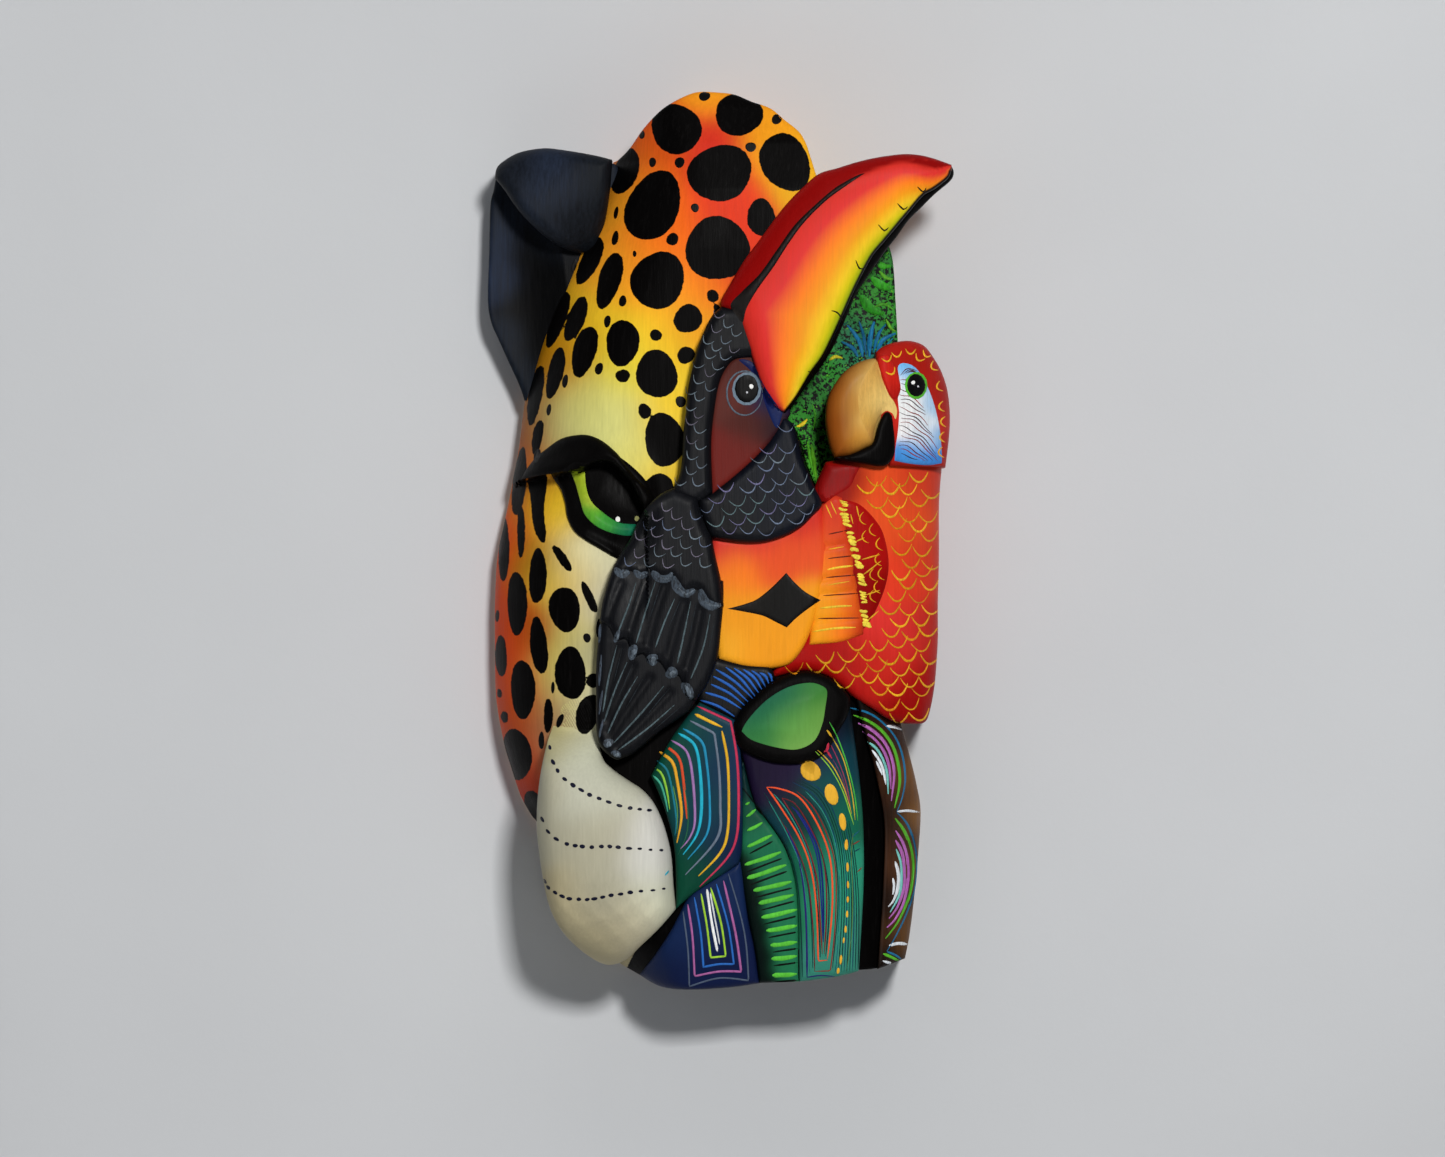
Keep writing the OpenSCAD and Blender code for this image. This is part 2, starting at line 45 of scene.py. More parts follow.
# ---------------------------------------------------------------- sizes, in mm
MM = 0.001
HANG_Z = 47.0          # the hanger, and so the origin, over the level that outlines are measured from
FACE_DEPTH = 68.0      # the face over the wall plane, at its middle line
WALL_T = 14.0          # the carved wall's thickness
RIM_DEPTH = 4.0        # the painted side's height over the wall plane, at the outline
SOCKET_DEPTH = 9.0     # the eye socket under the brow
GRID_STEP = 1.1
BACK_STEP = 6.0
EDGE_RINGS = (0.3, 0.8, 1.5, 2.4, 3.5)
STEEP_RINGS = (0.12, 0.35, 0.7, 1.2, 1.9, 2.8, 3.9)

# ---------------------------------------------------------------- outlines
# Front views, X to the right and Z up. A point given twice is a corner, and the rest lie on a curve.
SHELL = [(-41, 38), (-38, 39.5), (-33, 44), (-27, 52), (-20, 59), (-14, 63), (-8, 66),
    (-3, 67.3), (5, 67), (12, 66), (19, 63), (27, 60), (33, 55), (39, 50), (42, 45), (44, 39),
    (46.5, 31), (46.5, 31), (60, 12), (77, 3), (77, 3), (79, -5), (80, -20), (81, -39),
    (86, -70), (91, -110), (92, -160), (90, -185), (82, -201), (82, -201), (86, -214),
    (89, -226), (91, -238), (90, -255), (88, -275), (86, -290), (84, -300), (84, -300),
    (72, -304), (60, -305), (46, -308.5), (26, -309.5), (10, -311.5), (-8, -312.5),
    (-20, -311.5), (-30, -307), (-30, -307), (-42, -300), (-56, -286), (-66, -262),
    (-72, -245), (-76, -240), (-80, -232), (-84, -220), (-87, -210), (-90.5, -190),
    (-91, -170), (-91, -150), (-90, -130), (-87, -115), (-84, -100), (-81, -85), (-78, -62),
    (-76, -56), (-72, -40), (-66, -20), (-58, 0), (-51, 15), (-45, 28)]
CAVITY = [(-22, 26), (-6, 31), (10, 26), (19, 0), (20, -60), (27, -102), (62, -116),
    (73, -150), (73, -240), (70, -280), (60, -292), (0, -298), (-40, -284), (-56, -258),
    (-70, -215), (-76, -170), (-74, -130), (-66, -80), (-50, -20), (-36, 12)]
EAR = [(-38, 30), (-41, 38), (-41, 38), (-48, 40.5), (-62, 43), (-70, 43.7), (-80, 42),
    (-87, 38), (-89.5, 35), (-91, 27), (-92.5, 20), (-93, 0), (-93.5, -20), (-92, -30),
    (-89, -37), (-85, -46), (-80, -57), (-78, -63), (-78, -63), (-66, -62), (-50, -20)]
EAR_FOLD = [(-40.2, 38.5), (-40.2, 38.5), (-48, 40.5), (-62, 43), (-70, 43.7),
    (-80, 42), (-87, 38), (-89.5, 35), (-90, 31), (-90, 31), (-86, 26), (-82, 20), (-78, 15),
    (-72, 9), (-67, 5), (-62, 2), (-57, 0), (-52, -0.5), (-46, 1), (-46, 1), (-43.6, 10), (-41.4, 24)]
BROW = [(-79, -97), (-79, -97), (-77, -93), (-73, -88), (-68, -84), (-62, -80),
    (-56, -78.5), (-50, -78.5), (-44, -81), (-38, -86), (-34, -91), (-30, -96), (-24, -102),
    (-22, -106), (-26, -110), (-29, -106), (-31, -100), (-35, -95), (-40, -90.5),
    (-46, -90), (-54, -93), (-62, -94.5), (-70, -95.5)]
EYE = [(-66, -88), (-66, -95), (-62, -101), (-60, -107), (-59, -113), (-56, -119),
    (-51, -123), (-46, -126), (-41, -129), (-38, -131), (-38, -131), (-32, -128),
    (-24, -112), (-24, -100), (-36, -88), (-50, -82)]
MUZZLE = [(-50, -190), (-60, -192), (-65.5, -203), (-69, -216), (-71, -230), (-71.5, -241),
    (-71, -250), (-69, -264), (-66, -277), (-61, -287), (-55, -294),
    (-49, -299), (-44, -302), (-40, -302.5), (-34, -300), (-28, -294), (-20, -286),
    (-13, -278), (-13, -278), (-14, -268), (-15, -255), (-18, -243), (-22, -234), (-27, -228),
    (-33, -224), (-40, -219), (-44, -214), (-46, -203)]
NECK = [(6, -25), (6, -25), (2, -29), (-1, -35), (-4, -42), (-6, -50), (-8, -60),
    (-9, -70), (-10, -80), (-10.5, -90), (-12, -97), (-14, -103), (-6, -108),
    (2.5, -103), (2.5, -103), (2, -90), (2, -80), (3, -70), (5, -58), (8, -51), (12, -47),
    (20, -46), (24, -44), (22, -34), (16, -26)]
TOUCAN_CHEEK = [(22, -44), (12, -46), (7, -51), (4, -58), (2, -70), (1, -80),
    (1, -90), (2, -104), (2, -104), (10, -98), (18, -91), (24, -85), (29, -79), (34, -72),
    (34, -66)]
BREAST = [(2.5, -103), (2.5, -103), (10, -97), (18, -90), (24, -84), (28, -79), (32, -71),
    (32, -71), (36, -74), (38, -80), (40, -88), (42, -93), (45, -100), (48, -106), (48, -109),
    (45, -112), (40, -117), (33, -121), (25, -123.5), (17, -124), (8, -123), (2, -121.5),
    (0, -118), (-3, -110), (-4, -105), (-4, -105)]
UPPER_BILL = [(6, -25), (6, -25), (6, -22), (10, -15), (16, -5), (22, 3), (30, 14),
    (35, 20), (40, 25), (47, 31), (55, 33.5), (63, 36), (70, 37.7), (78, 39), (84, 39.5),
    (90, 39), (96, 37.5), (103, 35), (103, 35), (102, 30), (96, 25), (91, 22), (85, 15),
    (80, 9), (75, 3), (70, -3), (66, -10), (62, -18), (58, -27), (54, -36), (49, -46),
    (44, -53), (38, -63), (33, -69.5), (33, -69.5), (28, -66), (24, -60), (21, -52), (18, -43),
    (15, -34), (13, -28)]
BILL_EDGE = [(102.5, 32.5), (102, 30), (96, 25), (91, 22), (85, 15), (80, 9), (75, 3), (70, -3),
    (66, -10), (62, -18), (58, -27), (54, -36), (49, -46), (44, -53), (38, -63), (33, -69.5)]
LOWER_BILL = [(103, 35), (103, 35), (104, 33), (103.8, 30.5), (102, 28), (96, 23),
    (90, 17), (85, 12), (80, 5), (76, 0), (71, -7), (67, -13), (63, -19), (60, -26),
    (57, -33), (53, -42), (48, -50), (42, -58), (37, -65), (34, -70), (31, -74), (31, -74),
    (31, -68), (38, -56), (50, -36), (60, -14), (78, 12), (92, 28)]
SHOULDER = [(-14, -101), (-14, -101), (-20, -104), (-26, -110), (-29, -115),
    (-32, -122), (-36, -128), (-39.5, -134.5), (-39.5, -134.5), (-36, -138.2), (-32, -136.8),
    (-29, -138.8), (-24, -137.5), (-21, -140.3), (-17, -139.8), (-15, -139.5), (-13, -144),
    (-9, -146.3), (-5, -144.3), (-3, -147), (0, -150.5), (5, -152.5), (7, -151), (7, -149),
    (6, -140), (4, -131), (2, -122), (0, -118), (-3, -110), (-4, -105), (-4, -105)]
COVERTS = [(-39, -133), (-39, -133), (-42, -142), (-44, -150), (-45, -157),
    (-45, -157), (-41, -160), (-38, -165), (-34, -165), (-31, -172), (-27, -171), (-24, -175),
    (-20, -174), (-16, -180.5), (-12, -180), (-9, -188), (-5, -190), (-3, -188),
    (0, -184), (3, -177), (5, -170), (6, -160), (7, -149), (7, -140), (7, -140),
    (-14, -134), (-30, -131)]
PRIMARIES = [(-44.5, -155), (-44.5, -155), (-46, -168), (-46.5, -178), (-46.5, -190),
    (-46.5, -200), (-45.5, -208), (-42, -212.5), (-38, -215), (-34, -214), (-30, -212),
    (-24, -207), (-18, -202), (-12, -198), (-7, -194), (-3, -188), (-3, -188), (-7, -180),
    (-14, -172), (-30, -160)]
STAR_PANEL = [(2, -121), (2, -121), (17, -122), (33, -119), (44, -110), (48.5, -108),
    (48.5, -108), (50, -116), (51, -125), (51, -130),
    (50, -138), (48, -146), (46, -155), (43, -163), (40, -169), (36, -174), (32, -176),
    (24, -177), (15, -176), (5, -173), (5, -173), (3, -160), (2, -140)]
MACAW_HEAD = [(71, -46), (72, -43), (76, -40.5), (82, -39), (87, -39),
    (92, -41), (96, -46), (99.5, -52), (102, -60), (103, -70), (102.5, -80), (101, -92),
    (101, -92), (77, -91.5), (77, -91.5), (74, -80), (72, -60)]
UPPER_BEAK = [(71, -46.5), (64, -48), (58, -52), (54, -57), (51, -63),
    (50, -70), (50.5, -77), (52, -84), (54, -88.3), (54, -88.3), (60, -87.4), (66, -84.6),
    (70, -82), (72, -75), (75, -69.2), (77.5, -70), (80, -70), (81, -66), (79, -62), (76, -55),
    (73, -50)]
HOOK = [(70, -82), (72, -75), (75, -69), (78, -70), (79, -76), (79.5, -82),
    (79, -87), (76, -91), (72, -91.8), (66, -90.8), (58, -89.5), (54, -88.3), (54, -88),
    (60, -87), (66, -84.5)]
MACAW_BODY = [(50, -90), (50, -90), (70, -87), (100, -90), (100, -90), (99, -100),
    (98.5, -110), (98.5, -130), (98, -150), (98, -165), (97, -180), (96, -188),
    (94.5, -195), (93, -199), (90, -200.5), (82, -200), (76, -198), (70, -194), (62, -189),
    (56, -184), (50, -180), (42, -178), (35, -179), (27, -181), (27, -181), (30, -174),
    (42, -160), (48, -130), (46, -108), (45, -102)]
WING_BAND = [(48, -108), (48, -108), (53, -104), (57, -105), (57, -105),
    (58.5, -112), (59, -120), (61.5, -127), (62, -135), (63.5, -142), (64.5, -150),
    (66, -156), (66, -162.5), (66, -162.5), (62, -164), (55, -166),
    (43, -167), (43, -167), (46, -130)]
WING_LOBE = [(56, -104), (56, -104), (64, -106), (70, -111), (75, -118), (77.5, -127),
    (78, -135), (76.5, -143), (73, -152), (69, -159), (65, -163.5), (65, -163.5),
    (60, -150), (56, -130)]
FOLIAGE = [(77, 3), (77, 3), (79, -5), (80, -20), (81, -39), (81, -52), (81, -52),
    (72, -92), (47, -102), (47, -102), (42, -90), (39, -80), (31, -68), (31, -68), (38, -50),
    (48, -22), (60, 0)]
LEAF_RIM = [(11, -200), (11, -200), (15, -193), (20, -188), (25, -183.5), (30, -181),
    (36, -178.7), (42, -178), (47, -179), (52, -181), (57, -185), (60.5, -190), (59, -197),
    (55, -204), (51, -211), (46, -215), (38, -217), (28, -216.5), (19, -213.5), (13, -209)]
LEAF = [(14.3, -202), (18, -196.2), (25.2, -189), (33.9, -183.9), (42.6, -182), (48.3, -183.2),
    (51.2, -186.1), (50.5, -193.3), (49.1, -200.6), (45.5, -207.8), (38.2, -211.4), (29.5, -210.7),
    (19.4, -207.8), (15.1, -204.6)]
RAYS = [(3, -172), (3, -172), (15, -175), (26, -176), (29, -181), (29, -181), (22, -187),
    (17, -192), (13, -199.5), (13, -199.5), (-3, -191.5), (-3, -191.5), (-5, -187),
    (-5, -187), (-2, -182), (1, -176)]
HEX = [(-3, -191), (-3, -191), (12, -198.5), (12, -198.5), (14, -210), (15, -225),
    (15, -250), (13.5, -259), (13.5, -259), (5, -264.5), (-5, -271), (-13, -278),
    (-13, -278), (-13, -265), (-14, -250), (-18, -235), (-23.5, -222), (-23.5, -222),
    (-16, -208), (-9, -198)]
NESTED = [(-9, -275), (-9, -275), (-5, -270), (5, -263), (14.5, -257), (14.5, -257),
    (17, -280), (20, -295), (22, -309.7), (22, -309.7), (10, -311.5), (-8, -312.5),
    (-20, -311.5), (-28.6, -307), (-28.6, -307), (-22, -298), (-15, -287)]
CULMEN = [(12.4, -29.5), (14, -24), (18.5, -17), (25, -9.5), (31.8, 0.4), (38.8, 9.8), (47.4, 18.4),
    (56.2, 25.4), (66, 31), (78, 35.4), (90, 37), (103, 35.6)]
BILL_ROOT = [(33, -70), (28, -66), (24, -60), (21, -52), (18, -43), (15, -34)]
BARS = [(15, -214), (15, -214), (20, -233), (25, -240), (33, -252), (37, -265),
    (38.5, -280), (39, -309), (39, -309), (22, -309.7), (22, -309.7), (20, -295), (17, -280),
    (13, -258), (13, -258), (14, -250), (14, -225)]
STRIPES = [(12, -205), (12, -205), (40, -200), (56, -192), (60, -190), (60, -190),
    (62, -205), (64.5, -225), (66, -245), (66, -270), (64, -304.5), (64, -304.5), (54, -307),
    (39, -309), (39, -309), (38.5, -280), (37, -265), (33, -252), (25, -240), (20, -233),
    (15, -214), (15, -214)]
SIDE = [(62, -187), (62, -187), (70, -193), (76, -197), (82, -200), (82, -200),
    (86, -214), (89, -226), (91, -238), (90, -255), (88, -275), (86, -290), (84, -300),
    (84, -300), (72, -304), (72, -304), (74, -275), (75, -245), (72, -225), (67, -205)]


# ---------------------------------------------------------------- flat geometry
def curve(points, step=1.0, closed=True):
    """Points about step apart on a smooth curve through the given ones; a repeated point is a corner."""
    p = np.array(points, float)
    m = len(p)
    out = []
    for i in range(m if closed else m - 1):
        a, b, c, d = (p[j % m] if closed else p[min(max(j, 0), m - 1)] for j in (i - 1, i, i + 1, i + 2))
        length = np.linalg.norm(c - b)
        if length < 1e-6:
            continue
        for t in np.arange(max(1, round(length / step))) / max(1, round(length / step)):
            out.append(0.5 * (2 * b + (c - a) * t + (2 * a - 5 * b + 4 * c - d) * t * t
                + (3 * b - a - 3 * c + d) * t ** 3))
    if not closed:
        out.append(p[-1])
    return np.array(out)


def inside(q, poly):
    """Whether each point of q lies in the closed outline poly."""
    hit = np.zeros(len(q), bool)
    a, b = poly, np.roll(poly, -1, axis=0)
    for (x1, z1), (x2, z2) in zip(a, b):
        if z1 != z2:
            over = (z1 > q[:, 1]) != (z2 > q[:, 1])
            hit ^= over & (q[:, 0] < (x2 - x1) * (q[:, 1] - z1) / (z2 - z1) + x1)
    return hit


def edge_distance(q, line, closed=True):
    """Distance from each point of q to the nearest stretch of line."""
    a = line if closed else line[:-1]
    b = np.roll(line, -1, axis=0) if closed else line[1:]
    ab = b - a
    length2 = np.maximum((ab ** 2).sum(1), 1e-12)
    best = np.empty(len(q))
    for s in range(0, len(q), 4000):
        part = q[s:s + 4000, None, :] - a[None]
        t = np.clip((part * ab[None]).sum(2) / length2, 0, 1)
        best[s:s + 4000] = np.sqrt(((part - t[..., None] * ab[None]) ** 2).sum(2).min(1))
    return best


def signed(q, poly):
    """Distance to a closed outline, negative inside it."""
    d = edge_distance(q, poly)
    return np.where(inside(q, poly), -d, d)


def triangulate(outline, step, rings=(), lines=()):
    """Points and triangles of an outline's front view, and which points are the outline's own, in its order.
    Triangle edges follow each closed line."""
    loops = [outline, *lines]
    points = [np.concatenate(loops)]
    edges, start = [], 0
    for ring in loops:
        n = len(ring)
        edges += [(start + i, start + (i + 1) % n) for i in range(n)]
        start += n
    for r in rings:
        ring = shifted(outline, -r)
        ok = inside(ring, outline) & (edge_distance(ring, outline) > 0.93 * r)
        points.append(ring[ok])
    reach = rings[-1] if rings else 0.0
    lo, hi = outline.min(0), outline.max(0)
    rows = np.arange(lo[1], hi[1], step * 0.866)
    cols = np.arange(lo[0], hi[0] + step, step)
    gx, gz = np.meshgrid(cols, rows)
    gx = gx + (np.arange(len(rows)) % 2)[:, None] * step / 2
    grid = np.stack([gx.ravel(), gz.ravel()], 1)
    grid = grid[inside(grid, outline)]
    grid = grid[edge_distance(grid, outline) > reach + 0.45 * step]
    for line in lines:
        grid = grid[edge_distance(grid, line) > 0.4 * step]
    points.append(grid)
    q = np.concatenate(points)
    verts, _, faces, origin, _, _ = delaunay_2d_cdt([Vector(v) for v in q], edges, [], 1, 1e-6, True)
    v = np.array([tuple(p) for p in verts])
    where = {}
    for i, names in enumerate(origin):
        for name in names:
            where[name] = i
    order = [where[i] for i in range(len(outline))]
    middles = np.array([v[list(f)].mean(0) for f in faces])
    return v, [tuple(f) for f, keep in zip(faces, inside(middles, v[order])) if keep], order


def turning(outline):
    """Twice the outline's area, positive if it runs anticlockwise in the front view."""
    ahead = np.roll(outline, -1, axis=0)
    return (outline[:, 0] * ahead[:, 1] - ahead[:, 0] * outline[:, 1]).sum()


def shifted(line, by):
    """A closed line moved outwards by so many mm, inwards if by is negative."""
    tangent = np.roll(line, -1, axis=0) - np.roll(line, 1, axis=0)
    tangent /= np.maximum(np.linalg.norm(tangent, axis=1, keepdims=True), 1e-9)
    outward = np.stack([tangent[:, 1], -tangent[:, 0]], 1) * (1 if turning(line) > 0 else -1)
    return line + outward * by


# ---------------------------------------------------------------- the face, as depth in mm over the wall
SIDE_HEIGHT = [80, 70, 60, 45, 25, 0, -60, -250, -280, -300, -320]
SIDE_SHARE = [0.60, 0.71, 0.81, 0.90, 0.965, 0.99, 1, 1, 0.97, 0.91, 0.80]
LEFT_Z = [80, 38, 15, 0, -20, -40, -62, -85, -100, -115, -130, -150, -170, -190, -200, -210,
    -220, -232, -245, -262, -286, -300, -316]
LEFT_X = [-35, -41.5, -51.5, -58.5, -66.5, -72.5, -78.5, -81.5, -84.5, -87.5, -90.4, -91.4, -91.4,
    -90.8, -89.5, -87.4, -84.4, -80.3, -72.5, -66.3, -56.3, -42.5, -30]
BROW_EDGE = curve([(-82, -99), (-79, -97.5), (-70, -95.5), (-62, -94.5), (-54, -93), (-46, -90),
    (-40, -90.5), (-35, -95), (-31, -100), (-28, -106), (-24, -114)], 1.0, closed=False)


def smooth_min(a, b, k):
    h = np.clip(0.5 + 0.5 * (b - a) / k, 0, 1)
    return b * (1 - h) + a * h - k * h * (1 - h)


def ease(t):
    t = np.clip(t, 0, 1)
    return t * t * (3 - 2 * t)


LEFT_WIDTH, LEFT_RISE, LEFT_POWER = 62.0, 66.0, 2.2      # the round of the left cheek
RIGHT_X, RIGHT_WIDTH, RIGHT_BASE, RIGHT_RISE = 32.0, 60.5, 8.0, 62.0
CROWN_BLEND = 5.0


def crown(x, z):
    """The face without its eye socket."""
    middle = FACE_DEPTH * np.interp(z, SIDE_HEIGHT[::-1], SIDE_SHARE[::-1])
    s = np.clip((x - np.interp(z, LEFT_Z[::-1], LEFT_X[::-1])) / LEFT_WIDTH, 0, 1)
    left = RIM_DEPTH + LEFT_RISE * np.sqrt(1 - (1 - s) ** LEFT_POWER)
    u = np.clip((x - RIGHT_X) / RIGHT_WIDTH, 0, 1)
    right = RIGHT_BASE + RIGHT_RISE * np.sqrt(1 - u * u)
    return smooth_min(smooth_min(middle, left, CROWN_BLEND), right, CROWN_BLEND)


SOCKET_BOX = (-92, -8, -165, -50)      # left, right, bottom and top of the area that the brow changes
SOCKET_REACH = 24.0
BROW_LIFT, BROW_REACH = 4.0, 9.0


def face(x, z):
    """The face with the brow's overhang and the socket under it."""
    d = crown(x, z)
    q = np.stack([x, z], 1)
    left, right, bottom, top = SOCKET_BOX
    near = (x > left) & (x < right) & (z > bottom) & (z < top)
    if near.any():
        qq = q[near]
        far = edge_distance(qq, BROW_EDGE, closed=False)
        under = (qq[:, 1] < np.interp(qq[:, 0], BROW_EDGE[:, 0], BROW_EDGE[:, 1])) & (qq[:, 0] < -25)
        fade = ease((qq[:, 0] + 90) / 9) * ease((-16 - qq[:, 0]) / 10)
        drop = -SOCKET_DEPTH * (0.35 + 0.65 * ease(far / 1.2)) * np.exp(-(far / SOCKET_REACH) ** 2) * fade
        bump = BROW_LIFT * np.exp(-(far / BROW_REACH) ** 2) * fade
        d[near] += np.where(under, drop, bump)
    return d


def rounded(dist, r):
    """How far a rounded edge of radius r lies under the face at dist from the outline."""
    t = np.clip(r - dist, 0, r)
    return r - np.sqrt(r * r - t * t)


# ---------------------------------------------------------------- colour
PAINTS = {"red": "cc2c22", "scarlet": "e23e24", "vermilion": "e25024", "coral": "d83430",
    "poppy": "cc3822", "carmine": "b02016", "garnet": "a61c14", "crimson": "a20e0c", "oxblood": "880807",
    "brick": "b02c08", "tangerine": "e2480a", "burnt orange": "d85218", "flame": "ee661a",
    "orange": "f67c20", "rust": "cc600e", "sienna": "a64a08", "marigold": "ee981c", "amber": "f2a626",
    "gold": "e8ae20", "sun": "eec42a", "yellow": "f4cc34", "lemon": "d4c41a", "lime": "9cae14",
    "olive green": "7c9010", "mustard": "dab226", "ochre": "d0900f", "dark ochre": "bc780c",
    "olive": "a07808", "lime yellow": "dccb3c", "straw": "d8d070", "pale straw": "d0d086",
    "khaki": "ccba5c", "cream": "d6d4b0", "ivory": "c8cab4", "chalk": "d0cfc8", "bone": "bcbcaa",
    # The first grey on the next line, 9aa090, is a painted shadow colour for the cream under the toucan's
    # wing.
    "painted wing shadow grey": "9aa090", "putty": "aca892", "drab": "a29c76", "parchment": "cac0a0", "sand": "ada280",
    "tan": "c09c60", "buff": "eac670", "wheat": "d8a854", "honey": "c48a36", "bronze": "965c20",
    "saddle": "8b4612", "tobacco": "845620", "brown": "452818", "dark brown": "362014",
    "chestnut": "582822", "maroon": "681f1a", "dark maroon": "461e19", "aubergine": "1e121c",
    "plum": "201432", "dark plum": "120c22", "indigo": "1c1440", "navy": "14264c", "midnight": "101b40",
    "ink blue": "08121a", "night": "0a0e18", "petrol": "103a46", "teal": "14606a", "dark teal": "124848",
    "deep teal": "0c2a2a", "pine": "154a38", "bottle green": "0a4230", "green black": "050f0e",
    "sea green": "165e48", "viridian": "1c6848", "emerald": "23744e", "jade": "2a9072",
    "dull jade": "358270", "fern": "2c7230", "leaf green": "329028", "bright green": "52b436",
    "moss": "3a7e40", "grass": "4e9140", "pale grass": "6a9c46", "pear": "7cae54", "slate blue": "1f283a",
    "slate": "191e27", "dark slate": "131922", "graphite": "121519", "blue black": "0e0f13",
    "coal": "0b0c10", "soot": "0a0706", "pitch": "070708"}


def rgb(paint):
    """A linear colour from a paint's name or a six-figure sRGB code."""
    text = PAINTS.get(paint, paint)
    c = np.array([int(text[i:i + 2], 16) for i in (0, 2, 4)]) / 255.0
    return np.where(c <= 0.04045, c / 12.92, ((c + 0.055) / 1.055) ** 2.4)


def wash(x, z, spots, reach):
    """Colours that flow into each other between the spots: (x, z, paint) or (x, z, paint, reach)."""
    total = np.zeros((len(x), 3))
    weight = np.full(len(x), 1e-12)
    for spot in spots:
        r = spot[3] if len(spot) > 3 else reach
        far2 = (x - spot[0]) ** 2 + (z - spot[1]) ** 2
        w = np.exp(-far2 / (r * r)) + 1e-9 / (1e-3 + far2)
        total += w[:, None] * rgb(spot[2])
        weight += w
    return total / weight[:, None]


# ---------------------------------------------------------------- materials
class Nodes:
    """A short way to add and join shader nodes."""

    def __init__(self, name):
        self.material = bpy.data.materials.new(name)
        self.material.use_nodes = True
        self.tree = self.material.node_tree
        self.shader = self.tree.nodes["Principled BSDF"]
        self.place = self.add("ShaderNodeTexCoord").outputs["Object"]

    def add(self, kind, **values):
        node = self.tree.nodes.new(kind)
        for key, value in values.items():
            setattr(node, key, value)
        return node

    def join(self, a, b):
        self.tree.links.new(a, b)

    def attribute(self, name, out="Fac"):
        return self.add("ShaderNodeAttribute", attribute_name=name).outputs[out]

    def noise(self, scale, stretch=(1, 1, 1), detail=3.0, rough=0.55, distortion=0.0):
        """Noise with scale in waves a metre; stretch under 1 makes it longer that way."""
        mapping = self.add("ShaderNodeMapping")
        mapping.inputs["Scale"].default_value = stretch
        self.join(self.place, mapping.inputs["Vector"])
        node = self.add("ShaderNodeTexNoise")
        node.inputs["Scale"].default_value = scale
        node.inputs["Detail"].default_value = detail
        node.inputs["Roughness"].default_value = rough
        node.inputs["Distortion"].default_value = distortion
        self.join(mapping.outputs["Vector"], node.inputs["Vector"])
        return node.outputs["Fac"]

    def span(self, value, low, high, to_low=0.0, to_high=1.0):
        node = self.add("ShaderNodeMapRange")
        for key, v in zip(("From Min", "From Max", "To Min", "To Max"), (low, high, to_low, to_high)):
            node.inputs[key].default_value = v
        self.join(value, node.inputs["Value"])
        return node.outputs["Result"]

    def math(self, kind, a, b):
        node = self.add("ShaderNodeMath", operation=kind)
        for socket, v in zip(node.inputs, (a, b)):
            if isinstance(v, (int, float)):
                socket.default_value = v
            else:
                self.join(v, socket)
        return node.outputs[0]

    def mix(self, kind, factor, a, b):
        node = self.add("ShaderNodeMix", data_type="RGBA", blend_type=kind)
        for socket, v in ((node.inputs[0], factor), (node.inputs[6], a), (node.inputs[7], b)):
            if isinstance(v, (int, float)):
                socket.default_value = v
            elif isinstance(v, (tuple, list, np.ndarray)):
                socket.default_value = (*v[:3], 1.0)
            else:
                self.join(v, socket)
        return node.outputs[2]

    def shaded(self, base, shade):
        """The colour base times the grey value shade."""
        grey = self.add("ShaderNodeCombineColor")
        for socket in grey.inputs[:3]:
            self.join(shade, socket)
        return self.mix("MULTIPLY", 1.0, base, grey.outputs[0])

    def bump(self, height, strength, distance, normal=None):
        node = self.add("ShaderNodeBump")
        node.inputs["Strength"].default_value = strength
        node.inputs["Distance"].default_value = distance
        self.join(height, node.inputs["Height"])
        if normal is not None:
            self.join(normal, node.inputs["Normal"])
        return node.outputs["Normal"]


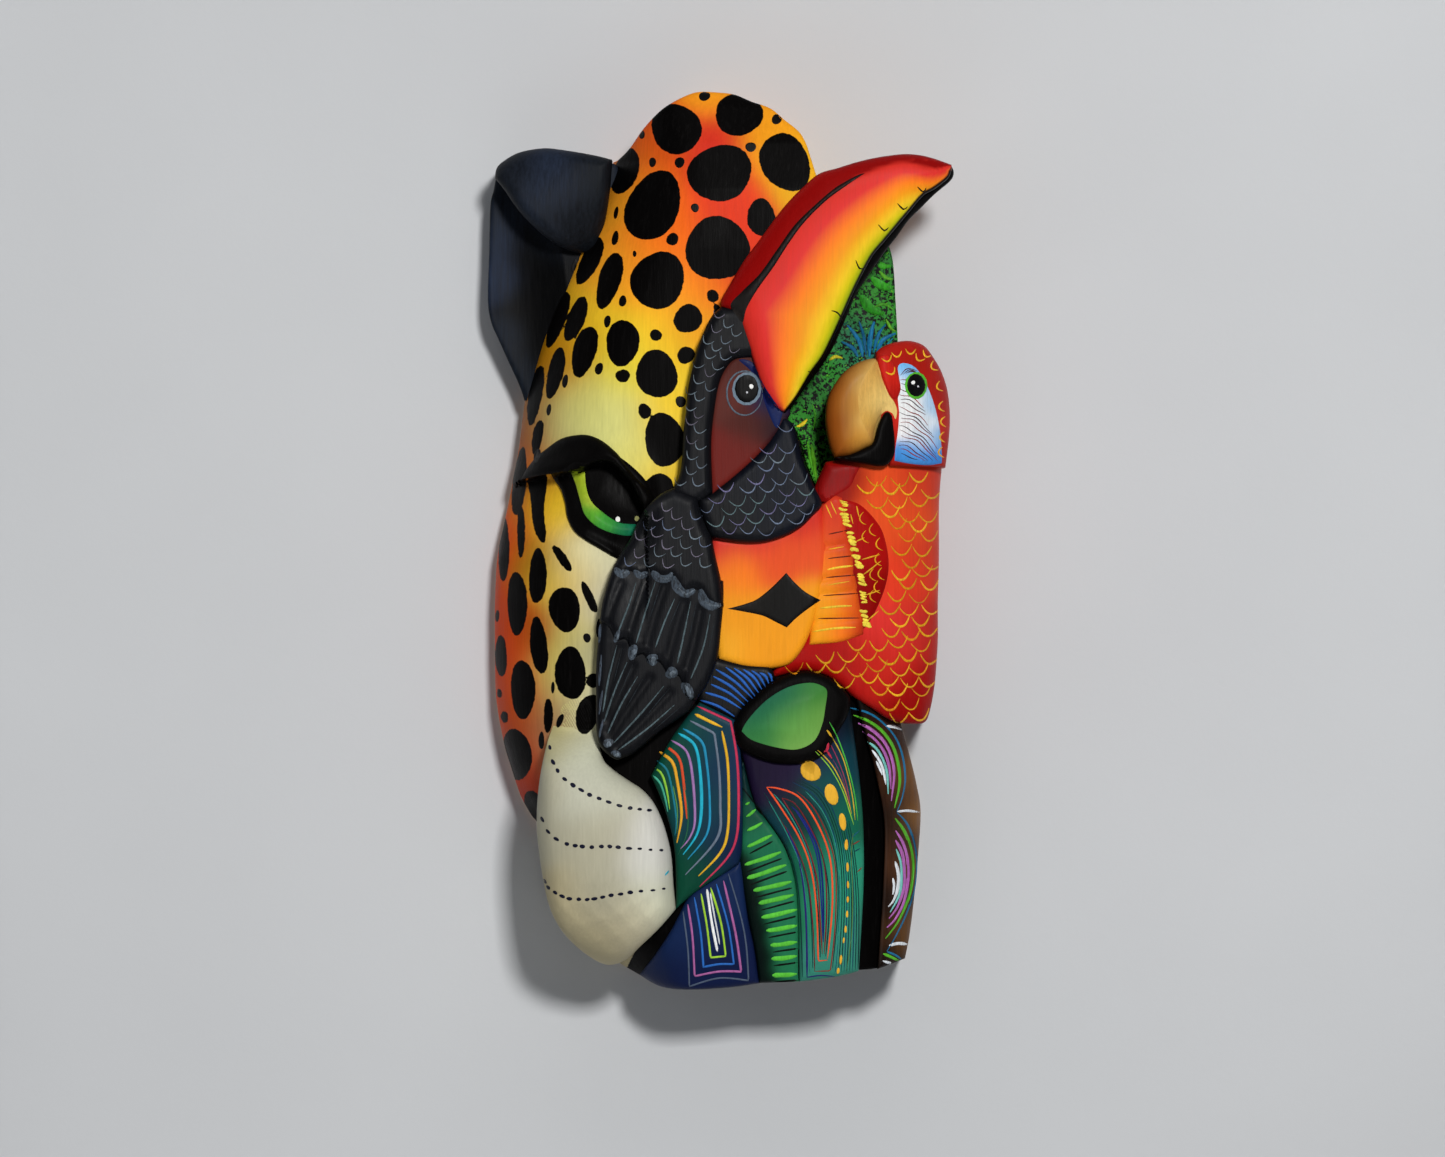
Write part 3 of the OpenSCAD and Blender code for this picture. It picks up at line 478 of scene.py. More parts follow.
def painted(name, colour=None, marks=(), rough=(0.36, 0.55), streak=0.10, grain=0.25,
            speckle=None, gloss=0.16):
    """Brushed acrylic on wood. Colour comes from the paint attribute, or is one colour; marks are
    (attribute, colour, wobble in mm) areas, painted where the attribute is under 0; speckle is a colour, the
    waves a metre, and the span of noise in which it fades in."""
    n = Nodes(name)
    if colour is None:
        base = n.attribute("paint", "Color")
    else:
        tone = n.noise(90, (1, 1, 0.25), 2.0)
        dark, light = rgb(colour) * 0.82, np.minimum(rgb(colour) * 1.16, 1)
        base = n.mix("MIX", n.span(tone, 0.3, 0.7), dark, light)
    brush = n.noise(900, (1, 1, 0.07), 3.0, 0.6)
    mottle = n.noise(60, (1, 1, 0.6), 3.0)
    shade = n.math("ADD", n.span(brush, 0.25, 0.75, 1 - streak, 1 + streak * 0.7),
        n.span(mottle, 0.3, 0.7, -streak * 0.5, streak * 0.5))
    base = n.shaded(base, shade)
    if speckle:
        dots = n.noise(speckle[1], (1, 1, 1), 2.0, 0.7)
        base = n.mix("MIX", n.span(dots, *speckle[2]), base, rgb(speckle[0]))
    roughness = n.span(n.math("ADD", n.math("MULTIPLY", brush, 0.5), n.math("MULTIPLY", mottle, 0.5)),
        0.35, 0.65, *rough)
    for attribute, ink, wobble in marks:
        edge = n.math("ADD", n.attribute(attribute), n.span(n.noise(420, detail=3.0), 0.2, 0.8, -wobble,
            wobble))
        cover = n.span(edge, 0.12, -0.12)
        # Each black mark gets lighter grey streaks along the brush: painted sheen on the black paint.
        sheen_streaks = n.noise(700, (1, 1, 0.10), 4.0, 0.7)
        tone = n.mix("MIX", n.span(sheen_streaks, 0.52, 0.86), rgb(ink), rgb(ink) * 2.2 + 0.0025)
        base = n.mix("MIX", cover, base, tone)
    n.join(base, n.shader.inputs["Base Color"])
    n.join(roughness, n.shader.inputs["Roughness"])
    fibre = n.noise(1500, (1, 1, 0.04), 4.0, 0.65)
    pore = n.noise(260, (1, 1, 0.12), 3.0, 0.6)
    first = n.bump(fibre, grain, 0.00022)
    second = n.bump(pore, grain * 0.8, 0.00045, first)
    n.join(second, n.shader.inputs["Normal"])
    n.shader.inputs["Specular IOR Level"].default_value = gloss
    return n.material


def bare_wood(name):
    """Pale carved wood, with grain along Z and shallow gouge facets."""
    n = Nodes(name)
    rings = n.noise(75, (1, 1, 0.05), 4.0, 0.6, 0.6)
    fibre = n.noise(1100, (1, 1, 0.03), 3.0, 0.7)
    base = n.mix("MIX", n.span(rings, 0.3, 0.72), rgb("b98f5c"), rgb("d9b986"))
    base = n.mix("MULTIPLY", 0.55, base, n.mix("MIX", n.span(fibre, 0.3, 0.7), rgb("a98a66"), rgb("ffffff")))
    n.join(base, n.shader.inputs["Base Color"])
    n.join(n.span(fibre, 0.3, 0.7, 0.62, 0.82), n.shader.inputs["Roughness"])
    gouge = n.add("ShaderNodeTexVoronoi", feature="SMOOTH_F1")
    gouge.inputs["Scale"].default_value = 110
    gouge.inputs["Smoothness"].default_value = 0.2
    mapping = n.add("ShaderNodeMapping")
    mapping.inputs["Scale"].default_value = (1, 1, 0.45)
    n.join(n.place, mapping.inputs["Vector"])
    n.join(mapping.outputs["Vector"], gouge.inputs["Vector"])
    first = n.bump(gouge.outputs["Distance"], 0.5, 0.0012)
    n.join(n.bump(fibre, 0.35, 0.0002, first), n.shader.inputs["Normal"])
    return n.material


def steel(name, tint):
    """Zinc-plated steel with fine rolled lines and a few dull patches."""
    n = Nodes(name)
    patch = n.noise(220, (1, 1, 1), 4.0)
    line = n.noise(2600, (0.05, 1, 1), 2.0)
    n.join(n.mix("MIX", n.span(patch, 0.35, 0.7), rgb(tint), rgb("7d7f80")), n.shader.inputs["Base Color"])
    n.join(n.span(n.math("ADD", n.math("MULTIPLY", patch, 0.6), n.math("MULTIPLY", line, 0.4)),
        0.35, 0.65, 0.24, 0.5), n.shader.inputs["Roughness"])
    n.join(n.bump(line, 0.3, 0.00008), n.shader.inputs["Normal"])
    n.shader.inputs["Metallic"].default_value = 1.0
    return n.material


# ---------------------------------------------------------------- meshes
def row_place(x, z, d):
    """Row-frame metres from outline millimetres and a depth over the wall."""
    return np.stack([x * MM, -d * MM, (z - HANG_Z) * MM], 1)


def make_object(name, verts, faces, materials, indices=None, attributes=None, sharp=45):
    mesh = bpy.data.meshes.new(name)
    mesh.from_pydata(verts.tolist(), [], faces)
    for material in materials:
        mesh.materials.append(material)
    if indices is not None:
        mesh.polygons.foreach_set("material_index", indices)
    for key, values in (attributes or {}).items():
        if values.ndim == 2:
            layer = mesh.attributes.new(key, "FLOAT_COLOR", "POINT")
            layer.data.foreach_set("color", np.concatenate([values, np.ones((len(values), 1))], 1).ravel())
        else:
            layer = mesh.attributes.new(key, "FLOAT", "POINT")
            layer.data.foreach_set("value", values)
    mesh.validate()
    mesh.shade_smooth()
    mesh.set_sharp_from_angle(angle=math.radians(sharp))
    piece = bpy.data.objects.new(name, mesh)
    bpy.context.scene.collection.objects.link(piece)
    return piece


def close_slits(piece):
    """Fills the narrow slits left where a carved line meets the outline."""
    work = bmesh.new()
    work.from_mesh(piece.data)
    made = bmesh.ops.holes_fill(work, edges=[e for e in work.edges if e.is_boundary], sides=12)
    for face_ in made["faces"]:
        face_.smooth = True
    work.to_mesh(piece.data)
    work.free()


SURFACES = []


def front_facing(q, f):
    """Whether a triangle of the front view turns its face to the front."""
    a, b, c = (q[i] for i in f[:3])
    return (b[0] - a[0]) * (c[1] - a[1]) - (b[1] - a[1]) * (c[0] - a[0]) > 0


def closed_slab(outline, top, back, step, rings, lines=(), back_lines=(), back_step=BACK_STEP, levels=4):
    """A closed mesh between depths top(x, z, dist) and back(x, z, dist): vertices, their places in the front
    view, faces, and how many of the faces belong to the front and the sides."""
    q, tris, order = triangulate(outline, step, rings, lines)
    dist = edge_distance(q, outline)
    dist[order] = 0.0
    d = top(q[:, 0], q[:, 1], dist)
    foot = np.minimum(back(outline[:, 0], outline[:, 1], np.zeros(len(outline))), d[order] - 0.4)
    verts, flat = [row_place(q[:, 0], q[:, 1], d)], [q]
    faces = [f if front_facing(q, f) else f[::-1] for f in tris]
    m, total, previous = len(outline), len(q), order
    forward = turning(outline) > 0
    for level in range(1, levels + 1):
        depth = d[order] + (foot - d[order]) * level / levels
        verts.append(row_place(outline[:, 0], outline[:, 1], depth))
        flat.append(outline)
        ring = list(range(total, total + m))
        for i in range(m):
            j = (i + 1) % m
            quad = (previous[i], ring[i], ring[j], previous[j])
            faces.append(quad if forward else quad[::-1])
        previous, total = ring, total + m
    sides = len(faces)
    bq, btris, border = triangulate(outline, back_step, (), back_lines)
    bdist = edge_distance(bq, outline)
    bd = back(bq[:, 0], bq[:, 1], bdist)
    remap = {v: previous[i] for i, v in enumerate(border)}
    loose = [i for i in range(len(bq)) if i not in remap]
    remap.update((v, total + i) for i, v in enumerate(loose))
    if loose:
        verts.append(row_place(bq[loose, 0], bq[loose, 1], bd[loose]))
        flat.append(bq[loose])
    for f in btris:
        g = f[::-1] if front_facing(bq, f) else f
        faces.append(tuple(remap[i] for i in g))
    return np.concatenate(verts), np.concatenate(flat), faces, sides


def relief(name, node, outline, top, back, paint, material, marks=None, rings=EDGE_RINGS):
    """A carved piece of the mask, painted all over."""
    line = curve(outline)
    verts, flat, faces, _ = closed_slab(line, top, back, GRID_STEP, rings)
    dist = edge_distance(flat, line)
    attributes = {"paint": paint(flat[:, 0], flat[:, 1], dist)}
    for key, f in (marks or {}).items():
        attributes[key] = f(flat)
    declare(make_object(name, verts, faces, [material], None, attributes), node)
    SURFACES.append((verts, faces))


def declare(piece, node):
    """The piece's body, the CAD node that it stands in for, if any."""
    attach(piece, "root")
    if node:
        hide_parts(node)


# ---------------------------------------------------------------- paint laid on the carving
class Canvas:
    """The carved front, looked at from in front."""

    def __init__(self):
        verts, faces, start = [], [], 0
        for v, f in SURFACES:
            verts += v.tolist()
            faces += [tuple(i + start for i in face_) for face_ in f]
            start += len(v)
        self.tree = BVHTree.FromPolygons(verts, faces)

    def depth(self, x, z):
        """The carving's depth at a place, None beside it."""
        hit = self.tree.ray_cast(Vector((x * MM, -0.2, (z - HANG_Z) * MM)), Vector((0, 1, 0)))
        if hit[0] is None:
            return None
        return -hit[0].y / MM


BRUSHED = {}
PAINT_LIFT = 0.03      # a stroke's edge over the carving, in mm
PAINT_ROOT = 0.4       # a stroke's underside below the carving, in mm


def keep_stroke(group, verts, faces, ink, dry):
    """Adds one stroke to its group, which finish_strokes() makes into a piece."""
    store = BRUSHED.setdefault(group, ([], [], [], []))
    start = len(store[0])
    store[0].extend(verts)
    store[1].extend(tuple(v + start for v in f) for f in faces)
    store[2].extend([tuple(ink)] * len(verts))
    store[3].extend([dry] * len(verts))


def ribbon(group, path, width, colour, height=0.2, ends=(0.35, 0.35), wobble=0.06, vary=0.10, dry=0.25,
           step=1.2, closed=False, within=(-10, 200)):
    """One brush stroke: a thin dome of paint along path, lying on the carving where its depth is within."""
    p = curve(path, 0.4, closed)
    lengths = np.concatenate([[0], np.cumsum(np.linalg.norm(np.diff(p, axis=0), axis=1))])
    total = lengths[-1]
    count = max(4, int(round(total / (step * 1.0))) + 1)
    at = np.linspace(0, total, count)
    line = np.stack([np.interp(at, lengths, p[:, 0]), np.interp(at, lengths, p[:, 1])], 1)
    tangent = np.gradient(line, axis=0)
    tangent /= np.maximum(np.linalg.norm(tangent, axis=1, keepdims=True), 1e-9)
    across = np.stack([-tangent[:, 1], tangent[:, 0]], 1)
    phase = RANDOM.uniform(0, 6.28, 4)
    u = at / max(total, 1e-6)
    swell = 1 + wobble * (np.sin(5 * u + phase[0]) + 0.7 * np.sin(11 * u + phase[1]))
    taper = np.minimum(1, np.minimum((0.12 + u / max(ends[0], 1e-3)), (0.12 + (1 - u) / max(ends[1], 1e-3))))
    taper = np.sqrt(np.clip(taper, 0, 1))
    half = 0.5 * width * swell * taper
    line = line + across * (wobble * 0.5 * width * np.sin(7 * u + phase[2]))[:, None]
    shade = 1 + RANDOM.uniform(-vary, vary)
    ink = np.clip(rgb(colour) * shade, 0, 1)
    middle = [CANVAS.depth(*v) for v in line]
    middle = [v if v is not None and within[0] < v < within[1] else None for v in middle]
    known = [v for v in middle if v is not None]
    if len(known) < len(middle) or not known:
        keep = [i for i, v in enumerate(middle) if v is not None]
        if len(keep) < 3 or keep[-1] - keep[0] + 1 != len(keep):
            return
        line, across, half = line[keep], across[keep], half[keep]
        middle = known
    verts, faces = [], []
    profile = ((-1.0, 0.0), (-0.62, 0.72), (0.0, 1.0), (0.62, 0.72), (1.0, 0.0))
    for i, (c, n, h) in enumerate(zip(line, across, half)):
        ring = []
        for s, lift in profile:
            x, z = c + n * h * s
            d = CANVAS.depth(x, z)
            if d is None or abs(d - middle[i]) > 0.6 + 0.9 * h:
                d = middle[i]
            ring.append((x, z, d + height * lift + PAINT_LIFT))
        for s in (0.97, -0.97):
            x, z = c + n * h * s
            ring.append((x, z, ring[4 if s > 0 else 0][2] - PAINT_ROOT))
        verts += ring
    k = len(profile) + 2
    for i in range(len(line) - 1):
        for j in range(k):
            a, b = i * k + j, i * k + (j + 1) % k
            faces.append((a, b, b + k, a + k))
    faces.append(tuple(range(k))[::-1])
    faces.append(tuple(range((len(line) - 1) * k, len(line) * k)))
    keep_stroke(group, verts, faces, ink, dry)


def dab(group, x, z, rx, rz, colour, tilt=0.0, height=0.2, vary=0.08, dry=0.1, wobble=0.06):
    """One round touch of paint."""
    n = 14
    phase = RANDOM.uniform(0, 6.28, 3)
    shade = 1 + RANDOM.uniform(-vary, vary)
    ink = np.clip(rgb(colour) * shade, 0, 1)
    t = math.radians(tilt)
    centre = CANVAS.depth(x, z)
    if centre is None:
        return
    verts, faces = [(x, z, centre + height)], []
    for scale, lift in ((0.6, 1.0), (0.9, 0.95), (1.0, 0.55), (0.99, None)):
        for i in range(n):
            a = 2 * math.pi * i / n
            wave = 1 + wobble * (math.sin(2 * a + phase[0]) + 0.6 * math.sin(3 * a + phase[1]))
            u, v = rx * math.cos(a) * wave * scale, rz * math.sin(a) * wave * scale
            for pull in (1.0, 0.75, 0.5, 0.3, 0.15, 0.0):
                px = x + pull * (u * math.cos(t) + v * math.sin(t))
                pz = z + pull * (v * math.cos(t) - u * math.sin(t))
                d = CANVAS.depth(px, pz)
                if d is not None and abs(d - centre) < 1.0 + 1.5 * max(rx, rz):
                    break
            verts.append((px, pz, d + (height * lift + PAINT_LIFT if lift is not None else -PAINT_ROOT)))
    for i in range(n):
        j = (i + 1) % n
        faces.append((0, 1 + i, 1 + j))
        for level in range(3):
            a = 1 + level * n
            faces.append((a + i, a + n + i, a + n + j, a + j))
    faces.append(tuple(range(1 + 3 * n, 1 + 4 * n))[::-1])
    keep_stroke(group, verts, faces, ink, dry)


def patch(name, slot, outline, colours, height=0.22, reach=6.0, bulge=0.0, bulge_reach=6.0, ground=None,
          dry=0.12):
    """A filled area of paint, with its own washes, lying on the carving or on a given form."""
    line = curve(outline, 0.7)

    def depths(x, z):
        if ground is not None:
            return ground(x, z, np.full(len(x), 20.0))
        found = [CANVAS.depth(a, b) for a, b in zip(x, z)]
        base = np.array([np.nan if v is None else v for v in found])
        base[np.isnan(base)] = np.nanmean(base)
        return base

    def lay(x, z, dist):
        dome = height * np.sqrt(np.clip(dist / 0.9, 0, 1))
        return depths(x, z) + PAINT_LIFT + dome + bulge * ease(dist / bulge_reach)

    def under(x, z, dist):
        return depths(x, z) - 0.5

    verts, flat, faces, _ = closed_slab(line, lay, under, 1.0, (0.3, 0.8), back_step=2.5,
        levels=1)
    attributes = {"paint": wash(flat[:, 0], flat[:, 1], colours, reach), "dry": np.full(len(flat), dry)}
    declare(make_object(name, verts, faces, [STROKE_PAINT], None, attributes, 60), None)
    SURFACES.append((verts, faces))


def finish_strokes():
    """Makes one piece of each group of strokes; a group is called name__slot."""
    for group, (verts, faces, inks, dry) in BRUSHED.items():
        name, slot = group.split("__")
        attributes = {"paint": np.array(inks), "dry": np.array(dry)}
        declare(make_object(name, row_place(*np.array(verts).T), faces, [STROKE_PAINT], None, attributes, 80),
            None)


def stroke_paint(name):
    """Brushed paint whose dry strokes let the dark ground show through."""
    n = Nodes(name)
    base = n.attribute("paint", "Color")
    brush = n.noise(900, (1, 1, 0.07), 3.0, 0.6)
    shade = n.span(brush, 0.25, 0.75, 0.86, 1.1)
    base = n.shaded(base, shade)
    gaps = n.noise(1300, (1, 1, 0.3), 3.0, 0.7)
    thin = n.math("MULTIPLY", n.span(gaps, 0.42, 0.66), n.attribute("dry"))
    base = n.mix("MIX", thin, base, rgb("1c1712"))
    n.join(base, n.shader.inputs["Base Color"])
    n.join(n.span(brush, 0.3, 0.7, 0.34, 0.55), n.shader.inputs["Roughness"])
    n.join(n.bump(n.noise(1500, (1, 1, 0.04), 4.0, 0.65), 0.3, 0.0002), n.shader.inputs["Normal"])
    n.shader.inputs["Specular IOR Level"].default_value = 0.08
    return n.material


# ---------------------------------------------------------------- forms over the face
def over(step, r=3.0, flat=1.0):
    """The face raised by step, with its edge rounded down by r (times flat)."""
    return lambda x, z, dist: face(x, z) + step - flat * rounded(dist, r)


def behind(gap):
    return lambda x, z, dist: np.maximum(face(x, z) - gap, 0.6)


def level(depth):
    return lambda x, z, dist: np.full(len(x), float(depth))


def bill_front(x):
    """The bill's outermost depth, which falls towards its tip."""
    return 86.4 - 10.0 * ease((x - 15) / 105.0)


def over_culmen(x, z):
    """How far each point lies above the bill's dark line, in mm, 0 below it."""
    line = curve(CULMEN, 1.0, False)
    far = edge_distance(np.stack([x, z], 1), line, False)
    return np.where(z > np.interp(x, line[:, 0], line[:, 1]), far, 0.0)


def bill_top(x, z, dist):
    return bill_front(x) - 0.5 * rounded(dist, 11) - 0.30 * over_culmen(x, z)


def bill_paint(x, z, dist):
    """Yellow-green at the cutting edge, through yellow and orange, to deep red over the dark line."""
    q = np.stack([x, z], 1)
    low = edge_distance(q, curve(BILL_EDGE, 1.0, False), False)
    high = edge_distance(q, curve(BILL_ROOT + CULMEN, 1.0, False), False)
    t = low / np.maximum(low + high, 1e-6)
    t = t + 0.36 * ease((x - 80) / 20.0)
    t = np.where(over_culmen(x, z) > 0, 1 + np.clip(high / 14.0, 0, 1), t)
    stops = [0, 0.04, 0.10, 0.18, 0.34, 0.52, 0.74, 0.95, 1.03, 1.5, 2.0]
    inks = np.array([rgb(c) for c in ("olive green", "lime", "lemon", "sun", "marigold", "orange", "coral",
        "red", "oxblood", "oxblood", "garnet")])
    colour = np.stack([np.interp(t, stops, inks[:, i]) for i in range(3)], 1)
    colour[low < 0.9] = rgb("0c0805")
    return colour


def strip_top(x, z, dist):
    far = edge_distance(np.stack([x, z], 1), curve(BILL_EDGE, 1.0, False), False)
    return bill_front(x) - 10.5 - 0.8 * far - 0.7 * rounded(dist, 2.0)


def bill_back(x, z, dist):
    return np.interp(x, [0, 50, 108], [58, 58, 62])


def over_hollow(depth, gap=8.0):
    """A back at depth, kept inside the shell's wall where the hollow lies behind."""
    def back(x, z, dist):
        near = signed(np.stack([x, z], 1), cavity_line) < 4
        return np.where(near, np.maximum(depth, crown(x, z) - gap), depth)
    return back


MACAW_X, MACAW_R, MACAW_BASE = 52.0, 52.0, 20.0      # the upright round that the macaw is carved to


def macaw_round(step, r=4.0):
    """The macaw's round raised by step, with its edge rounded by r."""
    def top(x, z, dist):
        u = np.clip((x - MACAW_X) / (MACAW_R + step), 0, 0.985)
        return MACAW_BASE + (MACAW_R + step) * np.sqrt(1 - u * u) - rounded(dist, r)
    return top


def wing_fan(step, grooves, r=3.0):
    """The macaw's form with shallow feather grooves along the given height lines."""
    smooth = macaw_round(step, r)

    def top(x, z, dist):
        d = smooth(x, z, dist)
        for z0, slope in grooves:
            off = z - (z0 + slope * (x - 55.0))
            d = d - 0.8 * np.exp(-(off / 1.1) ** 2)
        return d
    return top


CUP_R, CUP_LEAN, CUP_TOP = 29.0, math.radians(8), 32.0
FOLD_R, FOLD_TURN = 40.0, math.radians(30)


def ear_cup(x, z, dist):
    """The ear's flat with a leaning round scoop cut into it."""
    axis = -78 - (z + 50) * math.tan(CUP_LEAN)
    u = np.clip(np.abs(x - axis) / CUP_R, 0, 1)
    scoop = 50 - CUP_R * np.sqrt(1 - u * u)
    return np.minimum(CUP_TOP, scoop) - 0.9 * rounded(dist, 2.2)


def ear_fold(x, z, dist):
    """A turned round over the ear's top."""
    t = -(x + 66) * math.sin(FOLD_TURN) + (z - 20) * math.cos(FOLD_TURN)
    return 10 + np.sqrt(np.maximum(FOLD_R ** 2 - t * t, 1)) - 1.2 * rounded(dist, 5)


def muzzle_form(x, z, dist):
    """The muzzle swelling out of the face, with gouge facets low down."""
    chin = 44 + np.sqrt(np.maximum(52.0 ** 2 - (z + 252) ** 2, 0))
    snout = 60 + np.sqrt(np.maximum(36.0 ** 2 - (x + 43) ** 2, 0))
    swell = smooth_min(chin, snout, 7.0)
    ground = face(x, z) - 1.6
    h = np.clip(0.5 + 0.5 * (swell - ground) / 9.0, 0, 1)
    joined = swell * h + ground * (1 - h) + 9.0 * h * (1 - h)
    low = ease((-262 - z) / 14.0)
    u = 0.30 * x + 0.21 * z + 0.9 * np.sin(0.11 * z)
    v = 0.34 * z - 0.17 * x + 0.8 * np.sin(0.13 * x)
    facets = 0.34 * (np.abs(np.sin(u)) + np.abs(np.sin(v))) * low
    top = joined - facets - 1.1 * rounded(dist, 7) * ease((-205 - z) / 10.0)
    return np.where(x > -62, np.maximum(top, face(x, z) + 0.8 * ease((-208 - z) / 8.0)), top)


def eye_form(x, z, dist):
    """The eye's ball and its lid, raised from the socket."""
    q = np.stack([x, z], 1)
    ball = edge_distance(q, curve([(-55, -93), (-53, -103), (-49, -111), (-41, -116.5), (-31, -118)], 1.0,
        False), False)
    lid = edge_distance(q, curve([(-64, -96), (-61, -103), (-59.5, -110), (-57, -117), (-51.5, -121.5),
        (-46, -124.5), (-40, -128)], 1.0, False), False)
    return face(x, z) + 0.8 + 3.0 * np.exp(-(ball / 6.5) ** 2) + 1.6 * np.exp(-(lid / 2.2) ** 2) \
        - 0.7 * rounded(dist, 2.0)


def leaf_bulge(x, z, dist):
    return face(x, z) + 13.0 + 1.8 * ease(dist / 9.0) - 0.9 * rounded(dist, 1.0)


def grooved(base, lines, depth, width):
    """A form with shallow carved lines."""
    def top(x, z, dist):
        q = np.stack([x, z], 1)
        d = base(x, z, dist)
        for line in lines:
            far = edge_distance(q, curve(line, 1.5, False), False)
            d = d - depth * np.exp(-(far / width) ** 2)
        return d
    return top


COVERT_LINES = [[(-25.5, -140), (-30, -153), (-34, -166)], [(-17.5, -142), (-22, -155), (-26, -171)],
    [(-9.5, -149), (-13.5, -162), (-17.4, -177)], [(-2.5, -152), (-5.5, -166), (-11, -184)],
    [(-36, -141), (-40, -151), (-42, -160)]]
PRIMARY_LINES = [[(-36, -168), (-40.6, -184), (-43.4, -198)], [(-31, -176), (-37.6, -190), (-42.4, -203)],
    [(-24, -181), (-33, -194), (-40.4, -206)], [(-15.5, -187), (-27, -199), (-38, -210)]]

# ---------------------------------------------------------------- the cat's spots
SPOTS = [(-13, 51, 11.5, 10, 30), (13.5, 57, 10.5, 8.8, 0), (33, 36.5, 9.6, 13.5, -25),
    (5.5, 32, 13.5, 12, 0), (-22.8, 18.2, 11.6, 14.8, 22), (-34.6, 33.7, 5.2, 10.6, 20),
    (4.5, 0, 13, 14, 0), (23, 13, 6, 8, 0), (-20.7, -13.4, 11.4, 12, 0), (-41.1, -12.9, 4.9, 12, 18),
    (-49.6, -4.2, 3.9, 11.4, 25), (-35.5, -39.7, 7.2, 9.5, 10), (-7.9, -29.6, 6, 6.1, 0),
    (-51.7, -43, 5, 11.2, 18), (-21.1, -52.9, 9, 9.8, 0), (-17.9, -80.6, 8.4, 11.3, 0),
    (-8.8, -44.9, 3.7, 3.6, 0), (-55.4, -29, 4, 9.6, 22), (-63.4, -28.6, 3.4, 13, 20),
    (-64.2, -51.7, 3.6, 10.8, 12), (-73, -60.8, 3, 13.6, 10), (-71.9, -79, 2.3, 7.6, 12),
    (-20, -103, 7, 8, 0), (-80, -98, 3, 15, 5), (-60, -152, 6.7, 9.5, 0), (-57.5, -179, 6.4, 11.5, 0),
    (-71.5, -138, 3.8, 11.8, 0), (-80.5, -149.5, 4.2, 14, 0), (-86.6, -127, 2.6, 13, 0),
    (-71, -167.5, 3.8, 12, -8), (-87.8, -172, 2.9, 8.6, 0), (-78, -186, 5.6, 12, 0),
    (-81, -214, 6.6, 11.2, 0), (-74, -236, 4.2, 7.2, 0), (-67, -197, 2.0, 7.4, 0),
    (-61, -130.5, 2, 6.5, -35), (-49.5, -147, 2, 7, -25), (-48, -182, 2.6, 3.2, 0),
    (-50, -196, 5, 8.5, 15), (-79, -119, 1.8, 11, 0), (-35.4, -53.6, 3, 2.8, 0),
    (-26.2, -68.6, 2.8, 3.2, 0), (-14.5, 4, 2.6, 2.6, 0), (2.5, -20, 2.6, 2.6, 0),
    (-21.5, -36.5, 2.5, 2.5, 0), (-89.5, -155, 1, 2.6, 0), (-88.5, -188, 1.2, 2, 0),
    (-86.3, -198, 1.7, 2.6, 0)]
SMALL_SPOTS = [(-11.5, 36.5, 2.2, 2.2, 0), (-23, 37, 1.6, 2, 0), (-27.5, 49, 1.2, 1.8, 0),
    (-1, 65, 2.5, 2, 0), (29.5, 55, 2.2, 2.2, 0), (18.5, 43, 2.2, 2.2, 0), (-5, 17.2, 1.8, 1.8, 0),
    (-38.5, 16, 1, 2.6, 10), (-38.8, 5, 1.5, 3, 10), (-30.5, -2, 0.8, 1.4, 0),
    (-35.5, -22, 1.7, 2.3, 10), (-42, -30.5, 1.5, 2.5, 10), (-45.5, -50.5, 1.7, 2.6, 10),
    (-60, -55.5, 1.2, 3, 12), (-11, -64.5, 2.3, 2.3, 0), (-67, -67.5, 1, 2.5, 12),
    (-72, -87, 1.5, 3, 10), (-56.5, -6, 1, 3, 15), (-50.5, -164, 1.6, 2, 0),
    (-45.5, -160, 1.2, 4, 0), (-70, -207.5, 1.2, 4, 0), (-65, -185, 0.8, 2.5, 0),
    (-62, -199, 1.3, 3, 20)]
EYE_STRIPE = [(-76, -96), (-75, -105), (-74, -115), (-72, -121), (-69, -124), (-68, -120), (-69, -110),
    (-68, -100), (-68.5, -94)]
GROUND = [(6, -25), (3, -33), (-1, -50), (-5, -70), (-7, -85), (-9, -101), (-22, -111), (-29, -123),
    (-36.5, -134), (-41, -146), (-43.5, -165), (-44.5, -200), (-45.5, -213), (-36, -225), (-26, -235),
    (-18, -254), (-15, -270), (-30, -296), (-35, -307), (-35, -307), (-20, -318), (20, -318), (98, -310),
    (98, -190), (98, -190), (52, -104), (50, -104), (42, -80), (36, -68)]
FOLIAGE_GROUND = [(34, -72), (48, -40), (60, -5), (74, 6), (82, 12), (100, 12), (100, 12), (104, -60),
    (104, -205), (104, -205), (50, -104), (40, -90)]
SPOT_WAVES = np.random.default_rng(7).uniform(0, 2 * math.pi, (len(SPOTS), 2))


def spots(q):
    """Distance in mm to the painted spots, negative inside them."""
    best = np.full(len(q), 50.0)
    for (cx, cz, rx, rz, tilt), wave in zip(SPOTS, SPOT_WAVES):
        t = math.radians(tilt)
        x, z = q[:, 0] - cx, q[:, 1] - cz
        u = x * math.cos(t) - z * math.sin(t)
        v = x * math.sin(t) + z * math.cos(t)
        a = np.arctan2(v / rz, u / rx)
        swell = 1 + 0.045 * np.sin(2 * a + wave[0]) + 0.035 * np.sin(3 * a + wave[1])
        u, v = u / swell, v / swell
        k = np.sqrt((u / rx) ** 2 + (v / rz) ** 2)
        slope = np.sqrt((u / rx ** 2) ** 2 + (v / rz ** 2) ** 2)
        best = np.minimum(best, (k - 1) * k / np.maximum(slope, 1e-6))
    return np.minimum(best, signed(q, curve(EYE_STRIPE)))


